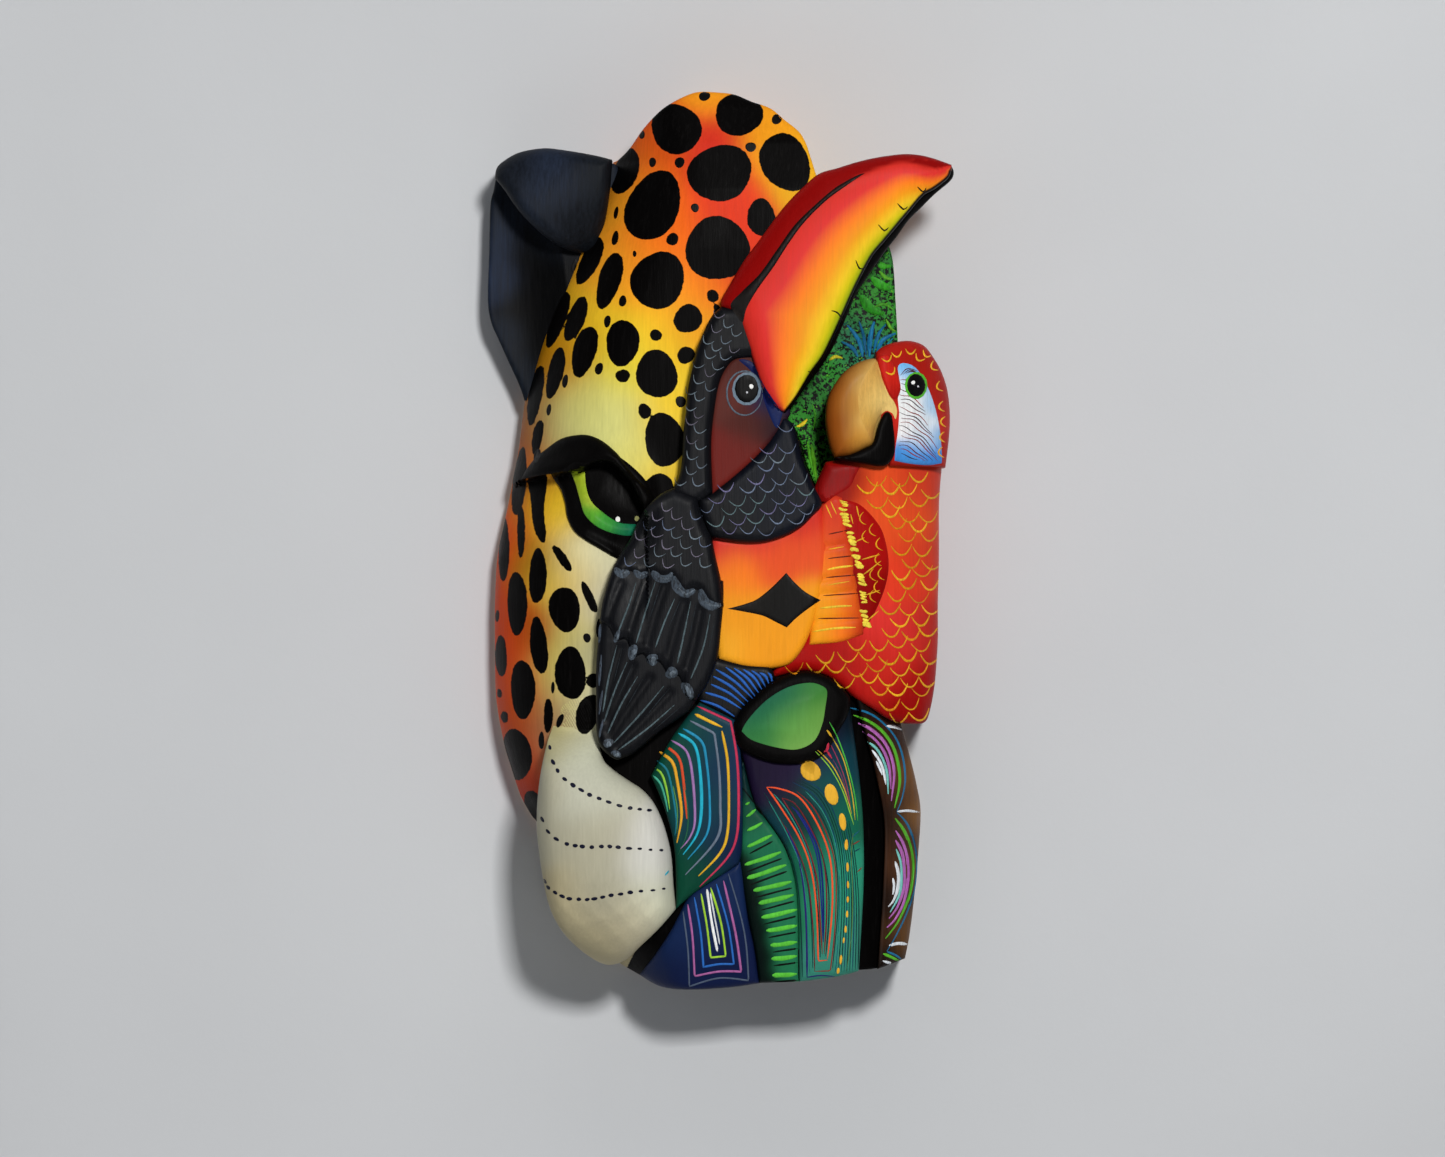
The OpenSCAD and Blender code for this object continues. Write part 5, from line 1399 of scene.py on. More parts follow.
for path, width in (([(-38.5, -134.5), (-36, -137.2), (-32.5, -136)], 2.6),
        ([(-30.5, -135.5), (-28, -137.8), (-24.5, -136.6)], 2.2),
        ([(-23, -136), (-20, -139), (-16, -138.8), (-14.5, -136.5)], 2.6),
        ([(-13.8, -138), (-12.6, -142.5), (-9, -145.4), (-5, -143.6)], 2.9),
        ([(-2.8, -143.5), (-1, -148.5), (2.5, -150.6), (6, -150)], 3.0)):
    ribbon("feather_tips__toucan_paint", path, width * 1.3, TIP_BLUE, 0.25, ends=(0.3, 0.3), dry=0.8,
        step=0.9)
    ribbon("feather_tips__toucan_paint", path[1:], width * 0.5, "68737e", 0.36, ends=(0.4, 0.4), dry=0.8)
for path in ([(-29.6, -140.5), (-33, -151), (-37.1, -161.5)], [(-21.6, -140.5), (-26, -154), (-29.6, -166)],
        [(-13.5, -147.5), (-18, -158), (-21.6, -168)], [(-6.7, -148.5), (-9.5, -162), (-12.3, -174.5)],
        [(1.4, -154), (-1.5, -168), (-6.7, -181)], [(-37.7, -167), (-41.2, -181), (-43.6, -195)],
        [(-33.4, -174), (-39, -187), (-43, -199)], [(-29, -180), (-36, -192), (-41.6, -204)],
        [(-17.9, -184), (-28, -196), (-39, -208)], [(-13.5, -192), (-25, -202), (-37.1, -211)]):
    ribbon("feather_shafts__toucan_paint", path, 0.75, "55666c", 0.18, ends=(0.5, 0.12), dry=0.7)
    ribbon("feather_shafts__toucan_paint", [(x + 2.3, z - 1) for x, z in path[:-1]], 0.35, "2c343a", 0.12,
        ends=(0.5, 0.5), dry=0.8)
for x, z, rx, rz, tilt in ((-37.7, -163.3, 1.2, 2.6, 18), (-31.1, -169.8, 2.2, 3.1, 22),
        (-22.8, -173, 2.2, 2.9, 22), (-14.7, -178.6, 2.9, 2.3, 15), (-8, -186, 1.9, 4.6, -28),
        (-41.4, -208, 1.7, 2.4, 40), (-38, -212.6, 2.1, 1.5, 10)):
    dab("feather_tips__toucan_paint", x, z, rx, rz, TIP_BLUE, tilt, 0.2, dry=0.8, wobble=0.14)
    dab("feather_tips__toucan_paint", x + 0.3, z - 0.5, rx * 0.55, rz * 0.6, "6c7883", tilt, 0.3, dry=0.7,
        wobble=0.2)
for z0, z1 in ((-158, -166), (-171, -184), (-186, -196), (-198, -206)):
    ribbon("feather_shafts__toucan_paint", [(-44.6 - 0.03 * (z0 + 160), z0), (-45.2, z1)], 1.1, "4a5563", 0.2,
        dry=0.9)
ribbon("toucan_eye__toucan_cheek_paint", [(15.9 + 7.5 * math.cos(0.7 * k), -61.2 + 9.3 * math.sin(0.7 * k))
    for k in range(9)], 0.7, "5d6a78", 0.15, dry=0.6, closed=True)
dab("toucan_eye__toucan_cheek_paint", 16.8, -59.4, 6.1, 7.1, "6e8090", 0, 0.2, wobble=0.015, dry=0.3)
dab("toucan_eye__toucan_cheek_paint", 16.8, -59.3, 5.0, 6.0, "040405", 0, 0.34, wobble=0.015)
dab("toucan_eye__toucan_cheek_paint", 18.7, -58.4, 0.95, 1.0, "f4f4f2", 0, 0.6)
dab("toucan_eye__toucan_cheek_paint", 16.9, -60.9, 0.45, 0.5, "c8c8d0", 0, 0.6)
for path in ([(88.5, 25.5), (91, 23.4), (92.2, 25.2)], [(80, 18.5), (82.6, 16), (84.4, 17.2)],
        [(72, 9.5), (74.6, 7), (76.3, 8.4)], [(62.5, -5.5), (64.2, -9), (66.4, -8.6)],
        [(52.3, -26.7), (55, -27.6), (57.3, -31)], [(42.4, -52.2), (43.6, -52.4), (45.5, -54.7)]):
    ribbon("bill_lines__bill_paint", path, 0.7, "17100c", 0.2, ends=(0.4, 0.4))

# the macaw
THROAT = [(48, -91), (64.5, -92), (62.4, -96), (60, -100.5), (54, -104.2), (49, -108)]
YELLOW = ["e8a81c", "dd9a18", "f0b428", "d88c18"]
scallops("macaw_scales__macaw_paint", MACAW_BODY, [WING_BAND, WING_LOBE, LEAF_RIM, STAR_PANEL, THROAT],
    9.0, 5.0, 8.6, 4.3, -6, YELLOW, 0.85, margin=1.6, high=-94.5, jitter=1.1, dry=0.35)
for x, z, turn in ((75.5, -45.7, -20), (77.1, -51.1, -30), (79.8, -43.6, -10), (85.8, -42.3, 0),
        (90.1, -45.2, 30), (93.3, -43.4, 25), (96.7, -49, 60), (99.2, -57.6, 70), (100.2, -66.2, 80),
        (101, -72.7, 85), (100.6, -79.2, 85), (100, -85.6, 80)):
    scallop("macaw_scales__macaw_paint", x, z, 4.4, 2.2, turn, YELLOW[2], 0.8)
for k in range(17):
    x0, z0 = 81.3 + 0.5 * math.sin(1.7 * k), -55.5 - 1.95 * k
    path = []
    for s in np.linspace(0, 1, 10):
        x, z = x0 + 15.8 * s, z0 - 1.5 * s - 9.5 * s ** 2 + 0.5 * math.sin(11 * s + 1.3 * k)
        if x < 88.5 + 0.30 * (-55 - z) and z > -89.5:
            path.append((x, z))
    ribbon("macaw_face_lines__macaw_paint", path, 0.45, ("8e2a22", "3a1c28", "6a2428")[k % 3], 0.15,
        ends=(0.5, 0.5))
for k in range(4):
    ribbon("macaw_face_lines__macaw_paint", [(81.5 + 1.1 * k, -53.5 + 0.4 * k),
        (84.5 + 1.1 * k, -50.6 - 0.5 * k), (88.6 + 1.1 * k, -51.6 - 1.4 * k)], 0.4, "5a2a38", 0.15,
        ends=(0.4, 0.4))
dab("macaw_eye__macaw_paint", 88.2, -57.7, 4.8, 5.8, "54b030", 0, 0.4, wobble=0.02)
dab("macaw_eye__macaw_paint", 88.2, -57.6, 3.9, 4.9, "08080a", 0, 0.8, wobble=0.02)
dab("macaw_eye__macaw_paint", 86.9, -56.5, 0.9, 0.9, "f6f6f4", 0, 1.0)
dab("macaw_eye__macaw_paint", 89.0, -58.1, 0.45, 0.5, "d8d8e0", 0, 1.0)
for path in ([(50.7, -135.3), (56, -134.2), (61.5, -133.7)], [(47.5, -151.5), (54, -150.8), (61, -150.5)],
        [(44.8, -161.3), (53, -160), (62.6, -159.6)]):
    ribbon("wing_lines__wing_paint", path, 0.95, "f2cc3a", 0.2, ends=(0.25, 0.35))
for path in ([(51.2, -126.7), (57.7, -125.6)], [(50.7, -141.8), (59.9, -140.2)], [(50, -108), (52.5, -113.5)],
        [(52, -106.5), (54.5, -112)]):
    ribbon("wing_lines__wing_paint", path, 0.55, "f0b832", 0.15, ends=(0.4, 0.4))
for path in ([(51.2, -120.4), (60.5, -118.4)], [(50.2, -138.6), (62.6, -137.5)],
        [(49, -146.2), (64.2, -145.2)], [(46.9, -155.8), (65.3, -155.6)], [(51, -130.6), (61.5, -129.4)]):
    ribbon("wing_lines__wing_paint", path, 0.5, "5a1c10", 0.1, ends=(0.2, 0.2))
for (x0, z0), (x1, z1) in (((57.4, -106.4), (58.3, -109)), ((57.2, -110), (59.3, -117)),
        ((60.2, -119.4), (62.2, -127.4)), ((62.6, -129), (64.6, -135)), ((64.4, -136.4), (65.6, -142)),
        ((65.5, -144.4), (66.3, -149.4)), ((65.8, -152.6), (67.8, -160))):
    for k in range(5):
        a = (k + RANDOM.uniform(0.1, 0.9)) / 5
        cx, cz = x0 + (x1 - x0) * a, z0 + (z1 - z0) * a
        wide = RANDOM.uniform(1.3, 2.0)
        ribbon("wing_comb__wing_paint", [(cx - wide, cz + RANDOM.uniform(-0.2, 0.9)), (cx, cz),
            (cx + wide, cz - RANDOM.uniform(-0.2, 0.9))], (abs(z1 - z0) / 5) * RANDOM.uniform(0.8, 1.1),
            "f4dc4a", 0.35, ends=(0.2, 0.2), step=0.7)
for path in ([(62.6, -123.5), (66.4, -121.8)], [(65.3, -131), (72.8, -128.9)],
        [(65.8, -137.5), (73.4, -131.6)], [(66.4, -146.1), (72.8, -144)],
        [(67.4, -156.9), (72.4, -152.6)], [(60.5, -112), (61.5, -116)], [(63, -108.5), (64, -113)]):
    ribbon("lobe_lines__lobe_paint", path, 0.6, "e8b028", 0.15, ends=(0.3, 0.5))
for x, z in ((67.5, -113.7), (71.6, -118.5), (74.4, -124.5), (68.5, -121.4), (74, -131), (75.3, -137),
        (71.8, -137.4), (71.8, -146.4), (73.6, -142.6)):
    scallop("lobe_lines__lobe_paint", x - 1, z, 5.4, 2.2, 78, YELLOW[0], 0.6)

# the foliage behind the bill
for path, width, colour in (([(71, -4), (74.5, -6.4), (78, -6.6)], 2.6, "3fae2a"),
        ([(70, -11), (73.5, -14.6), (79, -15.6)], 4.0, "38a428"),
        ([(65, -19), (69, -24), (75, -27)], 4.2, "2f9426"),
        ([(73, -8.5), (76, -11.5), (79, -12)], 1.6, "5cae2c"),
        ([(71, -24), (75, -22.5), (79, -25)], 1.5, "4a9e2c"),
        ([(76, -29), (78, -33), (80, -34)], 1.4, "6cbc30"),
        ([(66, -45), (64.5, -38), (59.5, -31.5)], 2.0, "1876a8"),
        ([(69, -45), (69.2, -37), (71, -30)], 2.2, "187cb0"),
        ([(72, -43), (74.6, -38), (80, -35)], 2.0, "1876a8"),
        ([(64, -45), (61.5, -41), (57, -38.5)], 1.7, "166a98"),
        ([(67.5, -44), (66.4, -36), (64.5, -30)], 1.5, "166a98"),
        ([(70.6, -43), (73, -35), (76, -31)], 1.5, "166e9e"),
        ([(52, -46.5), (54.5, -44.8), (57.5, -45.6)], 1.6, "d0c828"),
        ([(38, -74.5), (40, -74), (42.6, -71.4)], 1.6, "e8cc28"),
        ([(44.2, -82), (45.6, -90), (46.4, -98.4)], 1.7, "6cc82c"),
        ([(42.6, -81), (43.8, -88), (45.2, -95)], 1.2, "58b428"),
        ([(47, -84), (48, -91), (48.4, -98)], 1.0, "4aa428"),
        ([(45, -76), (46, -70), (44.6, -65)], 1.0, "4aa428"),
        ([(52, -60), (50, -66), (47, -70)], 1.0, "3f9428"),
        ([(54, -37), (56, -33), (60, -30)], 1.2, "1a6a58"),
        ([(78, -45), (76, -41), (79, -37)], 1.3, "187a88")):
    ribbon("foliage_strokes__foliage_paint", path, width, colour, 0.3, ends=(0.4, 0.6), dry=0.5,
        within=(38, 46))
foliage_area = curve(FOLIAGE, 1.0)
count = 0
while count < (260):
    x, z = RANDOM.uniform(36, 81), RANDOM.uniform(-102, 2)
    if signed(np.array([(x, z)]), foliage_area)[0] > -1.2:
        continue
    count += 1
    a, size = RANDOM.uniform(0, 3.14), RANDOM.uniform(0.5, 1.5)
    ribbon("foliage_strokes__foliage_paint", [(x, z), (x + size * math.cos(a), z + size * math.sin(a))],
        RANDOM.uniform(0.35, 0.6), ["4cae2c", "3a9430", "68c030", "2a7a34"][count % 4], 0.2, dry=0.4,
        step=0.6, within=(38, 46))

# the rays, the nested hexagon lines and the nested rectangles
for path in ([(25.6, -178.6), (27.5, -183)], [(22.2, -178.6), (26, -183)], [(18.8, -177.7), (24.6, -184.5)],
        [(15.4, -177.2), (23.1, -185.5)], [(11.5, -176.7), (21.7, -186.9)], [(8, -176.3), (20.2, -188.4)],
        [(3.8, -177.2), (19.2, -189.4)], [(2.7, -180.1), (17.3, -190.8)], [(1.8, -183.5), (15.8, -192.3)],
        [(-0.6, -186.9), (14.4, -193.7)], [(-2.6, -190.2), (11.6, -197)]):
    (x0, z0), (x1, z1) = path
    ribbon("ray_lines__ray_paint", [(x0, z0), (0.5 * (x0 + x1) + 0.5, 0.5 * (z0 + z1) + 0.8), (x1, z1)], 1.15,
        "2a63b8", 0.25, ends=(0.2, 0.5))
for width, colour, path in ((1.1, "d03a5e", [(-4, -192.5), (10, -199), (10, -199), (12.6, -214),
        (13.4, -232), (12.6, -247), (8.5, -256.5), (-3, -268.5)]),
        (1.3, "eab52c", [(-5, -196), (6.5, -201.5)]),
        (1.2, "eab52c", [(6.3, -203), (8.6, -215), (9.3, -230), (8.8, -245), (5.8, -254), (-3.5, -264)]),
        (1.1, "6d7a8c", [(-7, -198.7), (3.2, -204), (3.2, -204), (5, -218), (5.6, -234), (4.4, -248),
        (-9, -263.5)]),
        (1.1, "2790b8", [(-10, -202), (-2.6, -207), (-0.4, -214), (1.2, -232), (0.2, -246), (-8, -257)]),
        (1.3, "25b4cf", [(-12, -204), (-5.4, -208.6), (-3, -218), (-2.2, -234), (-4, -246), (-10, -255)]),
        (1.1, "a77bb5", [(-15, -207), (-8.6, -211.6), (-6, -222), (-5, -240), (-7, -247.5),
        (-11, -252.5)]), (1.2, "d8502e", [(-17, -209.6), (-12, -214), (-10, -222), (-8.4, -240)]),
        (1.3, "dda22a", [(-20, -212), (-14.6, -216), (-12.4, -224), (-10.6, -238), (-12.6, -250)]),
        (0.9, "1f7a8c", [(-21, -215.6), (-16.8, -219.4), (-14.6, -228), (-12.8, -240), (-13.4, -247)]),
        (0.9, "8ec63f", [(-22, -218.6), (-19, -221), (-17, -227), (-15.6, -236)]),
        (0.9, "4db89a", [(-22.6, -221.8), (-19.6, -225), (-17.6, -231), (-16.4, -237)]),
        (0.5, "5a8c48", [(-14.2, -226), (-12.4, -236), (-12.6, -246)]),
        (0.5, "2a6a48", [(-9.5, -226), (-8, -236), (-8.4, -246), (-12, -255)])):
    ribbon("hex_lines__hex_paint", path, width, colour, 0.25, ends=(0.05, 0.35), dry=0.2)
for width, colour, path in ((0.7, "56647a", [(-10, -279), (-8, -295), (-7.4, -311), (-7.4, -311),
        (5, -307.4), (17.6, -308.4), (17.6, -308.4), (16.5, -293), (14, -280), (9, -263)]),
        (0.95, "b86aa8", [(-8, -276), (-6, -290), (-5.2, -306.6), (-5.2, -306.6), (5, -304.6),
        (14.5, -304.6), (14.5, -304.6), (12, -288), (7, -266)]),
        (0.85, "2f6fc5", [(-5.3, -273), (-2.6, -288), (-1.4, -302.6), (-1.4, -302.6), (5, -301.4),
        (11.4, -301.4), (11.4, -301.4), (9, -285), (4, -267.4)]),
        (0.9, "a4d43c", [(-2.4, -271.5), (0, -285), (1.6, -298.6), (1.6, -298.6), (8, -298), (8, -298),
        (6, -284), (1.6, -269)]), (1.1, "f2f4f4", [(0, -269.6), (2, -283), (4.4, -296)]),
        (0.7, "e8ecf0", [(1.4, -271), (3.4, -282), (5.4, -293)])):
    ribbon("nested_lines__nested_paint", path, width, colour, 0.22, ends=(0.04, 0.05), dry=0.25)

# the bars and the flames
BAR_ENDS = [((16.2, -234), (18, -233)), ((16.6, -239.2), (20.6, -236)), ((17, -245), (23.4, -241.6)),
    ((17, -251.8), (27.4, -246.8)), ((16, -259.4), (31.2, -254)), ((17, -265), (33.4, -259.4)),
    ((19.6, -270.2), (35.6, -266.4)), ((21.8, -275.6), (36.6, -272)), ((23, -281.6), (38, -278.2)),
    ((25, -287.2), (38, -285)), ((26.8, -293.4), (38, -292)), ((27.2, -299.2), (38, -298)),
    ((27.6, -306.2), (38, -305.6))]
for i, ((x0, z0), (x1, z1)) in enumerate(BAR_ENDS):
    ribbon("bar_lines__bar_paint", [(x0, z0), (0.5 * (x0 + x1), 0.5 * (z0 + z1) - 0.2), (x1, z1)],
        1.0 + min(i, 5) * 0.18, "5cc43e", 0.25, ends=(0.1, 0.3), dry=0.2)
    if i > 2:
        ribbon("bar_lines__bar_paint", [(x0 + 1, z0 - 2.9), (x1 + 0.3, z1 - 2.7)], 0.8, "060a07", 0.12,
            ends=(0.3, 0.1))
ribbon("bar_lines__bar_paint", [(15, -227), (25, -240), (33, -252), (37, -265), (38.5, -280),
    (39, -308.5)], 0.9, "0c1414", 0.2, ends=(0.1, 0.02))
FLAMES = [(0.75, "e8542c", [(25.1, -226.7), (29.9, -227.2), (37.7, -230.1), (43.5, -236.9),
    (49.4, -248.6), (52.3, -260.3), (52.8, -276.8), (50.8, -299.1)]),
    (0.75, "e8542c", [(25.1, -226.7), (30.9, -235), (38.7, -247.6), (43.5, -260.3), (46, -276.8),
    (46.9, -300), (46.9, -300), (50.8, -299.6)]),
    (0.6, "7a2228", [(31.5, -231.2), (37, -233.6), (42, -241), (47.8, -253), (50, -264), (50.4, -280),
    (49.4, -297)]),
    (0.6, "7a2228", [(31.5, -231.2), (37.5, -241), (42.5, -252), (46.4, -266), (47.6, -282),
    (48.6, -297)]),
    (0.8, "16246c", [(35.6, -234.8), (40, -239.6), (45.4, -249), (48, -260), (49, -276), (49, -292)]),
    (0.6, "1c2a7c", [(37, -236), (43, -246), (46.6, -257), (48, -272), (48.9, -292)]),
    (0.5, "8c2420", [(45.4, -304.4), (45.4, -304.4), (52, -304.2), (52, -304.2), (54, -285), (54.2, -262),
    (51, -248), (45, -235.6), (38, -228.6)]),
    (0.5, "702028", [(45.4, -304.4), (44.6, -285), (42.4, -266), (37.6, -252), (30, -238.6)]),
    (0.8, "2a1c6c", [(33.6, -244), (38.6, -257), (41, -272), (42, -290), (42.2, -307)]),
    (0.5, "2a1c6c", [(42.2, -307), (48, -306.2), (54, -306.8)]),
    (0.45, "14383a", [(31, -246), (36, -258), (38.6, -271), (39.8, -290), (40.2, -307)]),
    (0.55, "0e2c30", [(29.5, -230.5), (35.5, -238), (41, -249), (45, -262), (46.8, -280),
    (47.8, -298.5)]),
    (0.5, "0e2c34", [(33, -231), (39, -235.5), (44.6, -245), (49, -257), (51.2, -270), (51.2, -284),
    (50, -298)]),
    (0.5, "2f8a80", [(28, -229.5), (33.4, -236), (39.8, -247.4), (44.4, -260), (46.9, -277)]),
    (0.45, "10343a", [(24, -229), (30, -238.5), (37, -251), (42, -265.5), (44, -284), (44.6, -303)]),
    (0.45, "2a8478", [(26, -232.5), (33.5, -246), (39.4, -260), (41.8, -275), (42.9, -292),
    (43.3, -305)]),
    (0.45, "10343a", [(40.6, -229.6), (47.4, -237.6), (52.6, -249.6), (54.9, -263), (55, -280),
    (52.9, -303)]),
    (0.4, "34948a", [(41.5, -228.4), (48.6, -236.8), (53.6, -249), (55.8, -263), (55.9, -280),
    (54, -303.6)])]
for width, colour, path in FLAMES:
    ribbon("flame_lines__stripe_paint", path, width, colour, 0.16, ends=(0.05, 0.1), dry=0.15)
for k in range(9):
    s = 1.25 * k
    path = [(36 + 0.9 * s, -224.6 + 0.5 * s), (45.5 + 0.9 * s, -230.5 + 0.4 * s),
        (52.3 + 0.75 * s, -243 + 0.2 * s), (55.4 + 0.72 * s, -258), (55.8 + 0.82 * s, -278),
        (54.2 + 0.95 * s, -304.6)]
    ribbon("flame_lines__stripe_paint", path[(0 if k < 4 else 2):], 0.42, "0f3436" if k % 3 else "143c5c",
        0.14, ends=(0.1, 0.1), dry=0.1)
for x, z, rx, rz, tilt in ((43.6, -219.9, 4.0, 4.6, -38), (52.4, -229.8, 2.8, 4.5, -14),
        (57.1, -241.3, 1.5, 3.7, -6), (58.7, -251, 0.75, 2.4, 0), (59.2, -260.4, 0.6, 2.0, 0),
        (59.4, -267.8, 0.5, 1.6, 0), (59.3, -274, 0.5, 1.4, 0), (59, -280.2, 0.5, 1.5, 0),
        (58.4, -286.6, 0.5, 1.6, 2), (57.6, -291.2, 0.4, 1.3, 3), (56.4, -299.4, 0.6, 2.0, 5),
        (55.3, -304.2, 0.6, 1.4, 8)):
    dab("flame_ovals__stripe_paint", x, z, rx, rz, "e8b034", tilt, 0.3, wobble=0.04)
for width, colour, path in ((0.55, "48b040", [(51.4, -199.2), (55, -206), (59, -217), (62, -229),
        (63.6, -241)]), (0.9, "e0b030", [(50.4, -202.6), (52.6, -205.6)]),
        (0.5, "d8b838", [(52.6, -205.6), (57.4, -215), (61, -229), (62.4, -240.6)]),
        (0.5, "8cc83c", [(45.6, -211.6), (51.6, -218.4), (57, -228), (60.4, -238), (61.8, -242.6)]),
        (0.5, "e0b838", [(46.6, -211), (53, -218), (58, -228), (61, -238)]),
        (1.1, "c8324c", [(51.2, -208), (50.4, -211.2), (49.2, -211.8)]),
        (0.9, "c8324c", [(50.4, -211.4), (52.6, -214.6)]),
        (0.4, "a03858", [(51.6, -208), (55, -215), (58.6, -225), (60.4, -235)]),
        (0.4, "7a3a68", [(53, -215), (57, -223), (60, -234)]),
        (0.5, "1c5c74", [(61, -248), (64.4, -245)]), (0.5, "8c2420", [(61.4, -251), (64.4, -249.4)]),
        (0.5, "14304a", [(62, -254), (64.6, -252.6)]), (0.5, "8c2420", [(63.4, -262.6), (65.4, -260.6)]),
        (0.4, "5a7c3c", [(61.6, -246), (60.8, -256), (61.4, -270), (60.8, -290), (58.8, -304)])):
    ribbon("stripe_corner_lines__stripe_paint", path, width, colour, 0.16, ends=(0.1, 0.2))

# the brown side panel
BLUE, GREEN, PINK, CYAN, WHITE = "1c6f9a", "5cb82e", "b86ab8", "7fcfc8", "e8eef4"
for width, colour, path in ((0.9, BLUE, [(60.5, -193.6), (68, -195.6), (74, -199.6), (79.6, -206),
        (82.8, -214), (84, -224), (82.6, -232), (80.4, -237.6)]),
        (1.3, GREEN, [(61.8, -196.6), (68, -199), (74, -203.4), (78.6, -210), (81, -218), (81.6, -226),
        (79.4, -236)]),
        (1.3, PINK, [(63.8, -200), (69, -202.4), (74.4, -207.4), (77.8, -214), (79.2, -222), (78, -233)]),
        (1.2, PINK, [(65.6, -203.6), (70.6, -206.6), (74.8, -212), (77, -218.6), (77.8, -228)]),
        (1.1, CYAN, [(67.8, -207.8), (71.6, -210.8), (74.6, -216), (76.2, -222), (76.6, -230)]),
        (1.2, WHITE, [(69.6, -211.4), (72.4, -215), (74.4, -219.6), (75.6, -226)]),
        (1.0, WHITE, [(71.4, -216), (73.2, -219.6), (74, -222)]),
        (1.3, WHITE, [(75.6, -201.4), (79, -201.6), (82.4, -203)]),
        (1.1, WHITE, [(80.6, -237.6), (85, -237.4), (90.4, -238.4)]),
        (1.3, WHITE, [(77, -294), (81, -293.4), (86, -294.2)]),
        (0.9, BLUE, [(80.4, -238), (84.6, -242.6), (87.6, -250), (89, -259), (88, -271), (84.6, -281),
        (80, -290), (76, -296.4)]),
        (1.3, GREEN, [(79.6, -240.4), (83.6, -246), (86.6, -254), (87.4, -263), (85.6, -274), (81, -284),
        (75.4, -291)]),
        (1.3, PINK, [(79.8, -245.6), (83, -251), (85, -258), (85.2, -267), (83.4, -276), (79.6, -283),
        (76, -286.4)]),
        (1.3, PINK, [(79.8, -249.6), (82.6, -255), (83.6, -262), (83.4, -270), (80.6, -278),
        (77, -282.6)]), (1.1, CYAN, [(80, -253.4), (82, -259), (82.4, -266), (81.4, -273), (77.4, -280)]),
        (1.4, WHITE, [(79.6, -258.6), (81, -264), (80.8, -270), (79, -275), (76.6, -277.6)]),
        (1.1, WHITE, [(78.6, -265.6), (79.2, -269), (78.6, -272.6)]),
        (1.2, GREEN, [(74.4, -297.4), (78, -299), (82.2, -301.4)]),
        (1.1, WHITE, [(74.2, -300.4), (77, -301.4), (80, -302.8)]),
        (0.9, BLUE, [(76, -296.6), (80, -298.4), (84, -301.6)])):
    ribbon("side_arcs__side_paint", path, width, colour, 0.25, ends=(0.12, 0.4), dry=0.3)
finish_strokes()


# ---------------------------------------------------------------- the hanger
KEYHOLE_R, KEYSLOT_R, KEYSLOT_RISE = 4.5, 2.2, 8.5
SCREW_X, SCREW_R, SCREW_HEAD_R, SCREW_HEAD_H, SCREW_LEN = 12.0, 1.5, 2.8, 1.5, 12.0


def ring_points(cx, cz, r, n, start=0.0, stop=2 * math.pi):
    a = np.linspace(start, stop, n, endpoint=False)
    return [(cx + r * math.cos(v), cz + r * math.sin(v)) for v in a]


def plate_with_holes(name, outline, holes, d0, d1, material, node):
    """A flat plate between depths d0 and d1 with holes through it and a softened rim."""
    q, tris, _ = triangulate(outline, 1.6, (0.35,), holes)
    keep = [f for f in tris if not any(inside(np.array([(q[f[0]] + q[f[1]] + q[f[2]]) / 3]), h)[0]
        for h in holes)]
    used = sorted({i for f in keep for i in f})
    index = {v: i for i, v in enumerate(used)}
    p = q[used]
    n = len(p)
    soft = 0.25 * (edge_distance(p, outline) < 0.05)
    verts = np.concatenate([row_place(p[:, 0], p[:, 1], d1 - soft), row_place(p[:, 0], p[:, 1], d0 + soft)])
    faces, edges = [], {}
    for f in keep:
        g = tuple(index[i] for i in (f if front_facing(q, f) else f[::-1]))
        faces.append(g)
        faces.append(tuple(i + n for i in g[::-1]))
        edges.update(dict.fromkeys(zip(g, g[1:] + g[:1])))
    faces += [(b, a, a + n, b + n) for a, b in edges if (b, a) not in edges]
    declare(make_object(name, verts, faces, [material], sharp=30), node)


slot_angle = math.asin(KEYSLOT_R / KEYHOLE_R)
keyhole = ring_points(0, HANG_Z, KEYHOLE_R, 28, math.pi / 2 + slot_angle, 2.5 * math.pi - slot_angle)
keyhole.append((KEYSLOT_R, HANG_Z + KEYHOLE_R * math.cos(slot_angle)))
keyhole += ring_points(0, HANG_Z + KEYSLOT_RISE, KEYSLOT_R, 12, 0, math.pi)
keyhole.append((-KEYSLOT_R, HANG_Z + KEYSLOT_RISE))
corner_r = 2.0
plate_outline = []
for sx, sz, a in ((1, 1, 0), (-1, 1, 0.5), (-1, -1, 1), (1, -1, 1.5)):
    plate_outline += ring_points(sx * (PLATE_W / 2 - corner_r), plate_z + sz * (PLATE_H / 2 - corner_r),
        corner_r, 6, a * math.pi, (a + 0.6) * math.pi)
screw_holes = [np.array(ring_points(s * SCREW_X, plate_z, SCREW_HEAD_R, 24)) for s in (-1, 1)]
plate_with_holes("keyhole_plate_steel", np.array(plate_outline), [np.array(keyhole), *screw_holes], 0.0,
    PLATE_T, PLATE_STEEL, "keyhole_plate")


def lathe(profile, n, centre):
    """A turned solid about the depth axis through centre, from (radius, depth) points."""
    verts, faces = [], []
    for r, d in profile:
        for i in range(n):
            a = 2 * math.pi * i / n
            verts.append((centre[0] + r * math.cos(a), centre[1] + r * math.sin(a), d))
    for k in range(len(profile) - 1):
        for i in range(n):
            j = (i + 1) % n
            faces.append((k * n + i, k * n + j, (k + 1) * n + j, (k + 1) * n + i))
    faces.append(tuple(range(n))[::-1])
    faces.append(tuple(range((len(profile) - 1) * n, len(profile) * n)))
    return verts, faces


